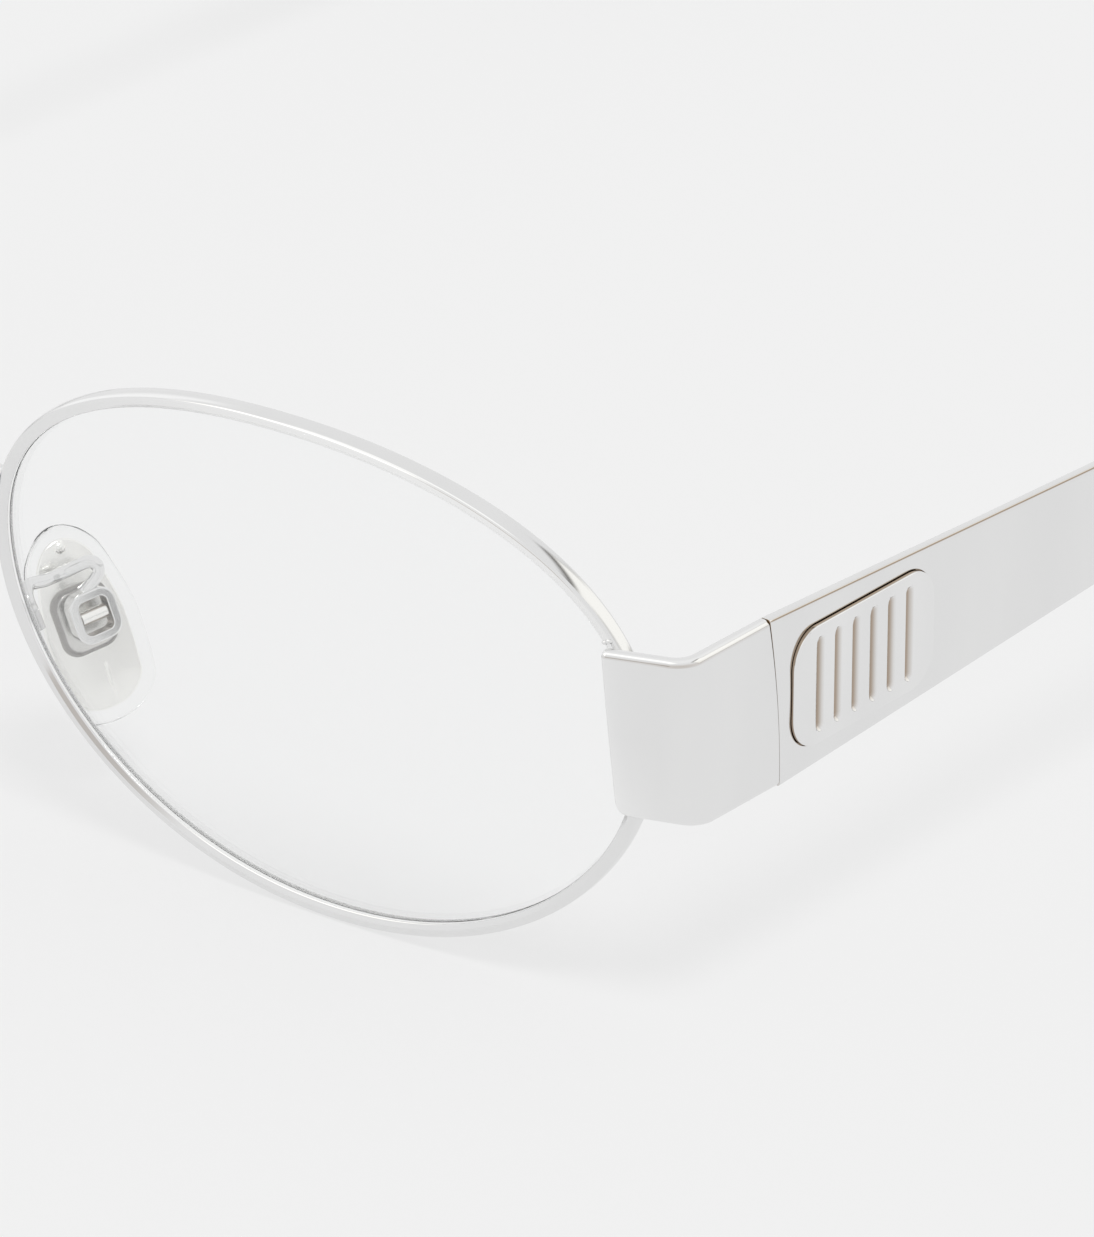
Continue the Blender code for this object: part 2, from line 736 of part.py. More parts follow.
def tip_section(height, thickness, sides=14):
    """A rounded section, fuller than an ellipse."""
    angle = np.linspace(0, 2 * math.pi, sides, endpoint=False)
    out = thickness / 2 * np.sign(np.cos(angle)) * np.abs(np.cos(angle)) ** 0.7
    up = height / 2 * np.sign(np.sin(angle)) * np.abs(np.sin(angle)) ** 0.7
    return np.stack([out, up], axis=-1)


def temple_tip():
    """The acetate ear tip: a swelling sleeve round the core, open at its front end."""
    start = BLADE_END + SEAM_GAP
    rounding = TIP_END_HEIGHT / 2
    full = TEMPLE_LENGTH - rounding
    lengths = list(np.linspace(start, full, 11))
    sizes = [(length - start) / (full - start) for length in lengths]
    rings = []
    for share, (middle, outward, up) in zip(sizes, core_stations(lengths)):
        height = TIP_START_HEIGHT + (TIP_END_HEIGHT - TIP_START_HEIGHT) * share
        thickness = TIP_START_THICKNESS + (TIP_END_THICKNESS - TIP_START_THICKNESS) * share
        rings.append(section_ring(middle, outward, up, tip_section(height, thickness)))
    for step in (30, 55, 75, 88):
        angle = math.radians(step)
        middle, outward, up = core_stations([full + rounding * math.sin(angle)])[0]
        section = tip_section(TIP_END_HEIGHT, TIP_END_THICKNESS) * math.cos(angle)
        rings.append(section_ring(middle, outward, up, section))
    sleeve = loft("tip", rings)
    bore_lengths = core_lengths()
    bore_lengths[0] -= TIP_START_THICKNESS / 2
    bore_lengths.append(bore_lengths[-1] + 2 * SEAT_GAP)
    section = tip_section(CORE_HEIGHT + 4 * SEAT_GAP, CORE_THICKNESS + 3 * SEAT_GAP, 8)
    bore = [section_ring(m, o, u, section) for m, o, u in core_stations(bore_lengths)]
    return cut(sleeve, loft("bore", bore))


# The closing blocks clamp the split eyewire behind the strap.
def block_frame():
    """Middle of the blocks' joint, in the eye's plane: X out, Y back, Z up."""
    x = EYE_WIDTH / 2 + SEAT_GAP + BLOCK_WIDTH / 2
    y = sag(EYE_WIDTH / 2, 0) + BLOCK_SETBACK + BLOCK_DEPTH / 2
    return EYE_FRAME @ Matrix.Translation((x, y, SPLIT_HEIGHT))


def closing_block(side):
    """One block, above the split for side 1 and below it for side -1, bored for the screw."""
    rise = (RIM_SPLIT + BLOCK_HEIGHT) / 2 * side
    frame = block_frame() @ Matrix.Translation((0, 0, rise))
    size = (BLOCK_WIDTH, BLOCK_DEPTH, BLOCK_HEIGHT)
    block = box_mesh("block", size, frame, corner=BLOCK_CORNER)
    bore = CLOSING_SCREW_DIAMETER + 2 * RUNNING_GAP
    return cut(block, cylinder_mesh("bore", bore, 2 * BLOCK_HEIGHT, frame, segments=12))


def closing_screw():
    """The screw that pulls the blocks together, its head under the lower block."""
    drop = RIM_SPLIT / 2 + BLOCK_HEIGHT + RUNNING_GAP
    upside_down = Matrix.Rotation(math.pi, 4, "X")
    frame = block_frame() @ Matrix.Translation((0, 0, -drop)) @ upside_down
    length = RIM_SPLIT + 2 * BLOCK_HEIGHT
    return screw_mesh(
        "closing_screw",
        CLOSING_SCREW_DIAMETER,
        length,
        CLOSING_HEAD_DIAMETER,
        CLOSING_HEAD_HEIGHT,
        frame,
    )


# The hinge: its axis lies inside the seam and leans like the seam.
def hinge_frame():
    """Middle of the hinge: X out of the temple, Y back, Z along the axis."""
    up = TEMPLE_AHEAD * -math.sin(SEAM_TILT) + Vector((0, 0, math.cos(SEAM_TILT)))
    ahead = TEMPLE_AHEAD * math.cos(SEAM_TILT) + Vector((0, 0, math.sin(SEAM_TILT)))
    inward = STRAP_THICKNESS + RUNNING_GAP + BARREL_DIAMETER / 2
    place = SEAM - TEMPLE_OUTWARD * inward
    return basis(place, TEMPLE_OUTWARD, ahead, up)


def hinge_leaf(direction, notches):
    """A leaf and its barrel, cut away where the other leaf's barrels turn, and bored."""
    frame = hinge_frame()
    height = 2 * OUTER_BARREL_HEIGHT + MIDDLE_BARREL_HEIGHT + 2 * RUNNING_GAP
    near = BARREL_DIAMETER / 2 + RUNNING_GAP
    length = near + LEAF_LENGTH
    out = BARREL_DIAMETER / 2 - LEAF_SINK - LEAF_THICKNESS / 2
    plate = box_mesh(
        "leaf",
        (LEAF_THICKNESS, length, height - 2 * LEAF_SINK),
        Matrix.Translation((out, direction * length / 2, 0)),
    )
    barrel = cylinder_mesh("barrel", BARREL_DIAMETER, height, Matrix.Identity(4))
    cutters = [cylinder_mesh("bore", BARREL_BORE, 2 * height, Matrix.Identity(4), segments=14)]
    for centre, notch_height in notches:
        size = (2 * BARREL_DIAMETER, 2 * near, notch_height)
        cutters.append(box_mesh("notch", size, Matrix.Translation((0, 0, centre))))
    leaf = cut(join(plate, barrel), *cutters)
    leaf.transform(frame)
    return leaf


def front_leaf():
    """The front's leaf, with a barrel at each end."""
    return hinge_leaf(-1, [(0.0, MIDDLE_BARREL_HEIGHT + 2 * RUNNING_GAP)])


def rear_leaf():
    """The temple's leaf, with the middle barrel."""
    clear = 2 * OUTER_BARREL_HEIGHT
    centre = (MIDDLE_BARREL_HEIGHT + clear) / 2
    return hinge_leaf(1, [(centre, clear), (-centre, clear)])


def hinge_screw():
    top = MIDDLE_BARREL_HEIGHT / 2 + RUNNING_GAP + OUTER_BARREL_HEIGHT + RUNNING_GAP
    frame = hinge_frame() @ Matrix.Translation((0, 0, top))
    return screw_mesh(
        "hinge_screw",
        HINGE_SCREW_DIAMETER,
        2 * top,
        HINGE_HEAD_DIAMETER,
        HINGE_HEAD_HEIGHT,
        frame,
    )


def nose_side(level, inset, depth):
    """The point of the eyewire's nose side at a level, in from its edge and back from its face."""
    angles = np.linspace(math.pi / 2, 3 * math.pi / 2, 2001)
    angle = float(np.interp(-level, -oval(angles)[1], angles))
    x, z = inset_oval(angle, inset)
    return Vector(in_eye((x, sag(x, z) + depth, z)))


def pad_centre():
    """The pad's place: towards the nose from the eyewire at its level, and behind it."""
    edge = nose_side(PAD_LEVEL, 0, RIM_DEPTH)
    return Vector((edge.x - PAD_NOSEWARD, edge.y + PAD_BEHIND, PAD_LEVEL))


# The nose pad stands on its long axis, which leans outwards at its foot.
def pad_frame():
    """Middle of the pad: X towards the box, Y back across its width, Z up its length."""
    face = Vector((math.cos(PAD_SPLAY), -math.sin(PAD_SPLAY), 0))
    lean = Vector((-math.tan(PAD_LEAN), -math.tan(PAD_BACK_LEAN), 1)).normalized()
    across = lean.cross(face).normalized()
    return basis(pad_centre(), across.cross(lean), across, lean)


def pad_outline(length, width, count=28):
    """Width and length places round the pad, a little broader at its foot."""
    angle = np.linspace(0, 2 * math.pi, count, endpoint=False)
    up = length / 2 * np.sign(np.sin(angle)) * np.abs(np.sin(angle)) ** 0.85
    across = width / 2 * np.sign(np.cos(angle)) * np.abs(np.cos(angle)) ** 0.65
    return across * (1 - PAD_TAPER * up / (length / 2)), up


def pad_rings(length, width, levels):
    """Rings of the pad's outline, each drawn in by a margin at its level of thickness."""
    turn = np.array(pad_frame().to_3x3())
    rings = []
    for out, margin in levels:
        across, up = pad_outline(length - 2 * margin, width - 2 * margin)
        ring = np.stack([np.full_like(up, out), across, up - PAD_DROP], axis=-1)
        rings.append(ring @ turn.T + np.array(pad_centre()))
    return rings


def nose_pad():
    """The soft silicone pad, hollow round its insert, with a window for the lug."""
    half = PAD_THICKNESS / 2
    cushion = loft(
        "pad",
        pad_rings(
            PAD_LENGTH,
            PAD_WIDTH,
            (
                (-half, PAD_FACE_INSET),
                (-0.75 * half, PAD_SHOULDER_INSET),
                (-0.2 * half, 0.0),
                (0.35 * half, 0.1 * PAD_SHOULDER_INSET),
                (0.85 * half, PAD_SHOULDER_INSET),
                (half, PAD_BACK_INSET),
            ),
        ),
    )
    reach = INSERT_THICKNESS / 2 + SEAT_GAP
    pocket = loft(
        "pocket",
        pad_rings(
            PAD_LENGTH,
            PAD_WIDTH,
            ((-reach, INSERT_MARGIN - SEAT_GAP), (reach, INSERT_MARGIN - SEAT_GAP)),
        ),
    )
    window = box_mesh(
        "window",
        (PAD_THICKNESS, PAD_WINDOW, PAD_WINDOW),
        pad_frame() @ Matrix.Translation((half, 0, 0)),
    )
    return cut(cushion, pocket, window)


def lug_reach():
    """How far the lug's cross bar lies from the middle of the pad."""
    return PAD_THICKNESS / 2 + BOX_STANDOFF + BOX_DEPTH / 2


def pad_insert():
    """The metal plate in the pad, with the lug whose cross bar turns in the box."""
    half = INSERT_THICKNESS / 2
    plate = loft(
        "insert",
        pad_rings(PAD_LENGTH, PAD_WIDTH, ((-half, INSERT_MARGIN), (half, INSERT_MARGIN))),
    )
    frame = pad_frame()
    reach = lug_reach()
    post = box_mesh(
        "post",
        (reach, LUG_POST_WIDTH, LUG_BAR_DIAMETER * 0.8),
        frame @ Matrix.Translation((reach / 2, 0, 0)),
    )
    sideways = Matrix.Rotation(math.pi / 2, 4, "X")
    bar = cylinder_mesh(
        "bar",
        LUG_BAR_DIAMETER,
        BOX_WIDTH - 2 * BOX_WALL - 2 * RUNNING_GAP,
        frame @ Matrix.Translation((reach, 0, 0)) @ sideways,
        segments=12,
    )
    return join(plate, post, bar)


def pad_box():
    """The ring-shaped box on the end of the pad arm."""
    frame = pad_frame() @ Matrix.Translation((lug_reach(), 0, 0))
    turned = frame @ basis(Vector(), Vector((0, 1, 0)), Vector((0, 0, 1)), Vector((1, 0, 0)))
    ring = rounded_plate("box", BOX_WIDTH, BOX_HEIGHT, BOX_CORNER, BOX_DEPTH, turned)
    hole = rounded_plate(
        "hole",
        BOX_WIDTH - 2 * BOX_WALL,
        BOX_HEIGHT - 2 * BOX_WALL,
        BOX_CORNER - BOX_WALL + 0.1 * mm,
        2 * BOX_DEPTH,
        turned,
    )
    return cut(ring, hole)


def pad_arm():
    """A wire brazed up the back of the eyewire, then over and back down to the box."""
    frame = pad_frame()
    box_top = frame @ Vector((lug_reach(), 0, BOX_HEIGHT / 2 + SEAT_GAP))
    depth = RIM_DEPTH + SEAT_GAP + ARM_DIAMETER / 2
    foot = nose_side(ARM_FOOT_TOP - ARM_FOOT_HEIGHT, RIM_FACE / 2, depth)
    knee = nose_side(ARM_FOOT_TOP, RIM_FACE / 2, depth)
    step = Vector((-ARM_STEP_NOSEWARD, ARM_STEP_BACK, 0))
    wide, rise = ARM_LOOP_WIDTH, ARM_LOOP_RISE
    points = [
        foot,
        foot.lerp(knee, 0.55),
        knee,
        knee + Vector((0.94 * step.x, 0.37 * step.y, 0.20 * rise)),
        knee + step + Vector((0, 0, 0.06 * rise)),
        box_top + Vector((-wide, -0.9 * wide, 0.66 * rise)),
        box_top + Vector((-0.09 * wide, -0.09 * wide, rise)),
        box_top + Vector((0.23 * wide, 0.09 * wide, 0.54 * rise)),
        box_top,
    ]
    return wire("pad_arm", points, ARM_DIAMETER)


# Assembly: the working frame's pieces are moved to the left eye and mirrored
# to the right one, and each hangs on the empty that carries it.
HALF_SPAN = (NOSE_GAP + EYE_WIDTH) / 2
TO_LEFT = Matrix.Translation((HALF_SPAN, 0, stand_height()))
MIRROR = Matrix.Diagonal((-1, 1, 1, 1))


def carrier(name, matrix, parent=None):
    """An empty that carries a body, with its Z on the body's joint axis."""
    empty = bpy.data.objects.new(name, None)
    PARTS.objects.link(empty)
    empty.parent = parent
    empty.matrix_world = matrix
    bpy.context.view_layer.update()
    return empty


def mirrored_frame(matrix):
    """The mirror image of a joint's frame, still right-handed, with its Z reversed."""
    return MIRROR @ matrix @ Matrix.Diagonal((1, 1, -1, 1))


def hang(name, mesh, material, empty, mirror=False):
    """Add a mesh given in the world as a part that hangs on an empty."""
    if mirror:
        mesh = mesh.copy()
        mesh.transform(MIRROR)
        mesh.flip_normals()
    mesh.name = name
    mesh.transform(empty.matrix_world.inverted())
    part = add_object(name, mesh, material)
    part.parent = empty
    return part


FRONT_PIECES = (
    ("rim", eyewire, METAL),
    ("lens", lens, CLEAR),
    ("end_piece", end_piece, METAL),
    ("closing_block_upper", lambda: closing_block(1), METAL),
    ("closing_block_lower", lambda: closing_block(-1), METAL),
    ("closing_screw", closing_screw, STEEL),
    ("hinge_front_leaf", front_leaf, METAL),
    ("hinge_screw", hinge_screw, STEEL),
    ("pad_arm", pad_arm, METAL),
    ("pad_box", pad_box, METAL),
)
TEMPLE_PIECES = (
    ("temple", temple, METAL),
    ("temple_inlay", temple_inlay, METAL),
    ("temple_tip", temple_tip, ACETATE),
    ("hinge_rear_leaf", rear_leaf, METAL),
)
PAD_PIECES = (
    ("pad", nose_pad, SILICONE),
    ("pad_insert", pad_insert, METAL),
)


def assemble():
    origin = carrier("eyeglasses", Matrix.Identity(4))
    front = carrier("front", Matrix.Identity(4), origin)
    temple_axis = TO_LEFT @ hinge_frame()
    pad_turn = pad_frame() @ Matrix.Translation((lug_reach(), 0, 0))
    bar_axis = basis(Vector(), Vector((0, 0, 1)), Vector((1, 0, 0)), Vector((0, 1, 0)))
    pad_axis = TO_LEFT @ pad_turn @ bar_axis
    carriers = {
        "left": (front, carrier("left_temple_axis", temple_axis, front),
                 carrier("left_pad_axis", pad_axis, front)),
        "right": (front, carrier("right_temple_axis", mirrored_frame(temple_axis), front),
                  carrier("right_pad_axis", mirrored_frame(pad_axis), front)),
    }
    for group, pieces in enumerate((FRONT_PIECES, TEMPLE_PIECES, PAD_PIECES)):
        for name, build, material in pieces:
            mesh = build()
            mesh.transform(TO_LEFT)
            hang("right_" + name, mesh, material, carriers["right"][group], mirror=True)
            hang("left_" + name, mesh, material, carriers["left"][group])
    joined = bridge(HALF_SPAN)
    joined.transform(TO_LEFT)
    hang("bridge", joined, METAL, front)
    centre_on_footprint(origin)


def centre_on_footprint(origin):
    """Move the whole so that its bounding box stands centred on the origin."""
    bpy.context.view_layer.update()
    corners = np.array(
        [
            part.matrix_world @ vertex.co
            for part in PARTS.objects
            if part.type == "MESH"
            for vertex in part.data.vertices
        ]
    )
    low, high = corners.min(axis=0), corners.max(axis=0)
    origin.location = (-(low[0] + high[0]) / 2, -(low[1] + high[1]) / 2, -low[2])
    bpy.context.view_layer.update()


assemble()
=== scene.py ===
import json
import math

import bmesh
import bpy
import numpy as np
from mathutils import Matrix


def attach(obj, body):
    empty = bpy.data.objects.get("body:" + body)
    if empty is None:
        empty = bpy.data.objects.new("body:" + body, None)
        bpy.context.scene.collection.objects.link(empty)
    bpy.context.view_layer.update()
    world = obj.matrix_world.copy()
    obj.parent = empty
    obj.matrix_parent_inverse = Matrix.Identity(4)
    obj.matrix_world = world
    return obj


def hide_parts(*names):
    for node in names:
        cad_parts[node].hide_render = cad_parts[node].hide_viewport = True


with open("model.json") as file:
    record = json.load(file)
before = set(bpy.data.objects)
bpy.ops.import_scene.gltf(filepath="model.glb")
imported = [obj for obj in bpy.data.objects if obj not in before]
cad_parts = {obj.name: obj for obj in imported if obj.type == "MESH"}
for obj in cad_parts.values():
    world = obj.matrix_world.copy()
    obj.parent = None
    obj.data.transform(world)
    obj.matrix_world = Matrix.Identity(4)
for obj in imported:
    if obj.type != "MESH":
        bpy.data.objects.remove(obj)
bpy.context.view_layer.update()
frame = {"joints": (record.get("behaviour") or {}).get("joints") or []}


# ---------------------------------------------------------------------------
# Eyewires. Each is one length of grooved nickel silver wire, plated bright and
# bent into an oval round its lens. It is split at the temple side, where the
# closing blocks pull it tight.
MM = 0.001
EYE_CENTRE = np.array([35.5, -76.605, 18.995])
EYE_WIDTH, EYE_HEIGHT = 54.0, 38.8
SQUARENESS, UPPER_WIDENING, TEMPLE_FULLNESS, END_LIFT = 2.08, 0.059, 0.013, 0.37
BASE_RADIUS = 106.0
PANTOSCOPIC_TILT, FACE_WRAP = math.radians(7.4), math.radians(3.4)
RIM_FACE, RIM_DEPTH, LIP_SETBACK = 1.04, 1.53, 0.30
GROOVE_DEPTH, GROOVE_WIDTH = 0.40, 0.66
RIM_SPLIT, SPLIT_HEIGHT = 0.30, 3.0
# Painted light: how much the groove and the wall over the lens are brightened against their shade,
# and a painted highlight on the front face, with the angle round the oval where it is brightest and
# its spread.
GROOVE_PAINTED_LIGHT, BEVEL_HIGHLIGHT, HIGHLIGHT_ANGLE, HIGHLIGHT_SPREAD = 0.9, 0.75, 1.15, 0.95


def turn_about(axis, angle):
    """Rotation matrix about x, y or z (0, 1, 2), the right-handed way."""
    c, s = math.cos(angle), math.sin(angle)
    i, j = (axis + 1) % 3, (axis + 2) % 3
    turn = np.eye(3)
    turn[i, i], turn[i, j], turn[j, i], turn[j, j] = c, -s, s, c
    return turn


EYE_TURN = turn_about(2, FACE_WRAP) @ turn_about(0, PANTOSCOPIC_TILT)


def in_eye(across, back, up):
    """Points across, back and up in the left eye's tilted plane, in the row frame in mm."""
    return np.stack(np.broadcast_arrays(across, back, up), -1) @ EYE_TURN.T + EYE_CENTRE


def signed_power(value, power):
    return np.sign(value) * np.abs(value) ** power


def oval(angle, inset=0.0):
    """The eyewire's edge, moved in by the inset.

    A superellipse |x/a|^n + |z/b|^n = 1, a little wider above its middle, fuller at
    the temple and lifted at its ends. The inset goes along the edge's normal, which
    is the difference of two near points turned by a right angle.
    """
    def edge(angle):
        across = signed_power(np.cos(angle), 2 / SQUARENESS)
        up = signed_power(np.sin(angle), 2 / SQUARENESS)
        x = EYE_WIDTH / 2 * across * (1 + UPPER_WIDENING * up)
        return x, EYE_HEIGHT / 2 * up * (1 + TEMPLE_FULLNESS * across) + END_LIFT * across**2

    nearby = 2e-3
    x, z = edge(angle)
    (x1, z1), (x0, z0) = edge(angle + nearby), edge(angle - nearby)
    length = np.hypot(x1 - x0, z1 - z0)
    return x - inset * (z1 - z0) / length, z + inset * (x1 - x0) / length


def base_curve(x, z):
    """How far the lens's base curve lies behind its middle: (x^2 + z^2) / 2R."""
    return (x**2 + z**2) / (2 * BASE_RADIUS)


def unit(vectors):
    """Vectors scaled to length 1."""
    return vectors / np.linalg.norm(vectors, axis=-1, keepdims=True)


def rounded(corners, radii, steps=6):
    """A closed outline with each corner rounded by an arc of its radius.

    With unit vectors a and b to the neighbours and half angle h between them, the arc
    starts r / tan(h) along a and its centre is r / sin(h) along the bisector. A point
    held just before and after each arc keeps the flats flat.
    """
    hold = 0.02
    corners = np.asarray(corners, float)
    radii = np.broadcast_to(np.asarray(radii, float), len(corners))[:, None]
    before = unit(np.roll(corners, 1, 0) - corners)
    after = unit(np.roll(corners, -1, 0) - corners)
    half = np.arccos(np.clip((before * after).sum(1, keepdims=True), -1, 1)) / 2
    centre = corners + unit(before + after) * radii / np.sin(half)
    reach = radii / np.tan(half)
    start, end = corners + before * reach - centre, corners + after * reach - centre
    opening = (np.pi - 2 * half)[:, None]
    share = np.linspace(0, 1, steps)[None, :, None]
    arc = np.sin((1 - share) * opening) * start[:, None] + np.sin(share * opening) * end[:, None]
    first, last = corners + before * (reach + hold), corners + after * (reach + hold)
    arc = centre[:, None] + arc / np.sin(opening)
    return np.concatenate([first[:, None], arc, last[:, None]], 1).reshape(-1, 2)


def grid_shell(points, ring=True, loop=False, caps=False):
    """Points and faces of a grid: face (i, j) joins (i, j), (i, j+1), (i+1, j+1), (i+1, j).

    ring closes each row on itself, loop closes the last row on the first, and caps
    fills the first and last rows.
    """
    rows, around = points.shape[:2]
    index = np.arange(rows * around).reshape(rows, around)
    if loop:
        index = np.vstack([index, index[:1]])
    if ring:
        index = np.hstack([index, index[:, :1]])
    quads = np.stack([index[:-1, :-1], index[:-1, 1:], index[1:, 1:], index[1:, :-1]], -1)
    faces = quads.reshape(-1, 4).tolist()
    if caps:
        faces += [list(range(around))[::-1], list(range((rows - 1) * around, rows * around))]
    return points.reshape(-1, 3), faces


def joined(*shells):
    """Several shells as one list of points, one of faces, and each point's value of the attribute
    that carries painted shade and highlights, and a lens's matt edge.
    """
    points, faces, painted_light_and_matt_edge, count = [], [], [], 0
    for shell in shells:
        faces += [[i + count for i in face] for face in shell[1]]
        points.append(shell[0])
        painted_light_and_matt_edge.append(shell[2] if len(shell) > 2 else np.zeros(len(shell[0])))
        count += len(shell[0])
    return np.vstack(points), faces, np.concatenate(painted_light_and_matt_edge)


def solid(name, shell, material, sharp=40):
    """An object from a shell in mm: doubles merged, normals outwards, smooth but for edges
    sharper than an angle."""
    mesh = bpy.data.meshes.new(name)
    mesh.from_pydata((shell[0] * MM).tolist(), [], shell[1])
    if len(shell) > 2:
        layer = mesh.attributes.new("painted_light_and_matt_edge", "FLOAT", "POINT")
        layer.data.foreach_set("value", np.asarray(shell[2], np.float32))
    shape = bmesh.new()
    shape.from_mesh(mesh)
    bmesh.ops.remove_doubles(shape, verts=shape.verts, dist=2e-7)
    bmesh.ops.dissolve_degenerate(shape, edges=shape.edges, dist=1e-7)
    bmesh.ops.recalc_face_normals(shape, faces=shape.faces)
    shape.to_mesh(mesh)
    shape.free()
    mesh.materials.append(material)
    mesh.shade_smooth()
    mesh.set_sharp_from_angle(angle=math.radians(sharp))
    piece = bpy.data.objects.new(name, mesh)
    bpy.context.scene.collection.objects.link(piece)
    return piece


def pair(name, shell, material, body, node, sharp=40):
    """The left piece and its mirror image, each riding on its side's body for its side's node."""
    for side, flip in (("left", 1), ("right", -1)):
        piece = solid(f"{side}_{name}", (shell[0] * (flip, 1, 1), *shell[1:]), material, sharp)
        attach(piece, body.format(side))
        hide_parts(f"{side}_{node}")


def add_node(tree, kind, inputs=(), **settings):
    """A shader node with its settings, and its inputs, by name or number, set or linked."""
    node = tree.nodes.new("ShaderNode" + kind)
    for label, value in settings.items():
        setattr(node, label, value)
    for socket, value in dict(inputs).items():
        if isinstance(value, bpy.types.NodeSocket):
            tree.links.new(value, node.inputs[socket])
        else:
            node.inputs[socket].default_value = value
    return node


def maths(tree, operation, *terms):
    """The result of a Math node on numbers and other nodes' outputs."""
    return add_node(tree, "Math", dict(enumerate(terms)), operation=operation).outputs[0]


def ramp(tree, value, low, high):
    """A mask that runs from 0 where the value is low to 1 where it is high."""
    limits = {"Value": value, "From Min": low, "From Max": high}
    return add_node(tree, "MapRange", limits).outputs["Result"]


def mixed(tree, share, below, above):
    """A colour laid over another by its share."""
    colours = {0: share, 6: below, 7: above}
    return add_node(tree, "Mix", colours, data_type="RGBA").outputs[2]


def handling_group():
    """What hands and cloths leave on a polished surface.

    Roughness is the clean value plus smears of a few millimetres, and hairlines are
    stretched noise whose thin peaks are both rougher and a little lower. Polish is the
    soft upright banding that a felt wheel leaves.
    """
    group = bpy.data.node_groups.new("handling", "ShaderNodeTree")
    for label, value in (("Clean", 0.06), ("Smears", 0.05), ("Hairlines", 0.04)):
        socket = group.interface.new_socket(label, in_out="INPUT", socket_type="NodeSocketFloat")
        socket.default_value = value
    for label in ("Roughness", "Height", "Polish"):
        group.interface.new_socket(label, in_out="OUTPUT", socket_type="NodeSocketFloat")
    given = group.nodes.new("NodeGroupInput").outputs
    result = group.nodes.new("NodeGroupOutput").inputs
    place = group.nodes.new("ShaderNodeTexCoord").outputs["Object"]

    def noise(scale, detail, low, high, **stretch):
        where = place
        if stretch:
            where = add_node(group, "Mapping", {"Vector": place, **stretch}).outputs["Vector"]
        texture = add_node(group, "TexNoise", {"Vector": where, "Scale": scale, "Detail": detail})
        return ramp(group, texture.outputs["Fac"], low, high)

    smears = noise(scale=160.0, detail=4.0, low=0.48, high=0.72)
    lines = noise(
        scale=1.0, detail=2.0, low=0.66, high=0.76,
        Rotation=(0.35, 0.2, 0.6), Scale=(9000.0, 260.0, 5200.0),
    )
    bands = noise(scale=1.0, detail=3.0, low=0.32, high=0.70, Scale=(150.0, 120.0, 26.0))
    smeared = maths(group, "MULTIPLY_ADD", smears, given["Smears"], given["Clean"])
    rough = maths(group, "MULTIPLY_ADD", lines, given["Hairlines"], smeared)
    group.links.new(rough, result["Roughness"])
    group.links.new(maths(group, "MULTIPLY", lines, -1.0), result["Height"])
    group.links.new(bands, result["Polish"])
    return group


HANDLING = handling_group()


def finish_of(name, clean, smears, hairlines, depth=2e-7, **sockets):
    """A Principled material with handling marks on its roughness and normal."""
    material = bpy.data.materials.new(name)
    material.use_nodes = True
    tree = material.node_tree
    shader = tree.nodes["Principled BSDF"]
    for label, value in sockets.items():
        shader.inputs[label.replace("_", " ")].default_value = value
    marks = add_node(
        tree, "Group", {"Clean": clean, "Smears": smears, "Hairlines": hairlines},
        name="marks", node_tree=HANDLING,
    ).outputs
    bump = add_node(tree, "Bump", {"Height": marks["Height"], "Strength": 0.5, "Distance": depth})
    tree.links.new(marks["Roughness"], shader.inputs["Roughness"])
    tree.links.new(bump.outputs["Normal"], shader.inputs["Normal"])
    return material


def plated(name, clean, smears, hairlines, brighter, darker, painted_shade_colour=(0.30, 0.20, 0.11)):
    """Plating between two tones of polish, with light painted in by a point attribute: painted
    shade and dark reflections where it is positive, and painted highlights toward near white where
    it is negative."""
    painted_highlight = (0.98, 0.98, 0.975, 1)
    material = finish_of(name, clean, smears, hairlines, Metallic=1.0)
    tree = material.node_tree
    polish = mixed(tree, tree.nodes["marks"].outputs["Polish"], (*darker, 1), (*brighter, 1))
    painted_light_and_matt_edge = add_node(tree, "Attribute", attribute_name="painted_light_and_matt_edge").outputs["Fac"]
    highlighted = mixed(tree, maths(tree, "MULTIPLY", painted_light_and_matt_edge, -1.0), polish, painted_highlight)
    colour = mixed(tree, painted_light_and_matt_edge, highlighted, (*painted_shade_colour, 1))
    tree.links.new(colour, tree.nodes["Principled BSDF"].inputs["Base Color"])
    return material


plated_metal = plated(
    "bright_plated_metal", clean=0.105, smears=0.04, hairlines=0.05,
    brighter=(0.834, 0.834, 0.832), darker=(0.802, 0.802, 0.802),
)


def bell(value, middle, width):
    """1 at the middle and falling off as exp(-((value - middle) / width)^2)."""
    return np.exp(-(((value - middle) / width) ** 2))


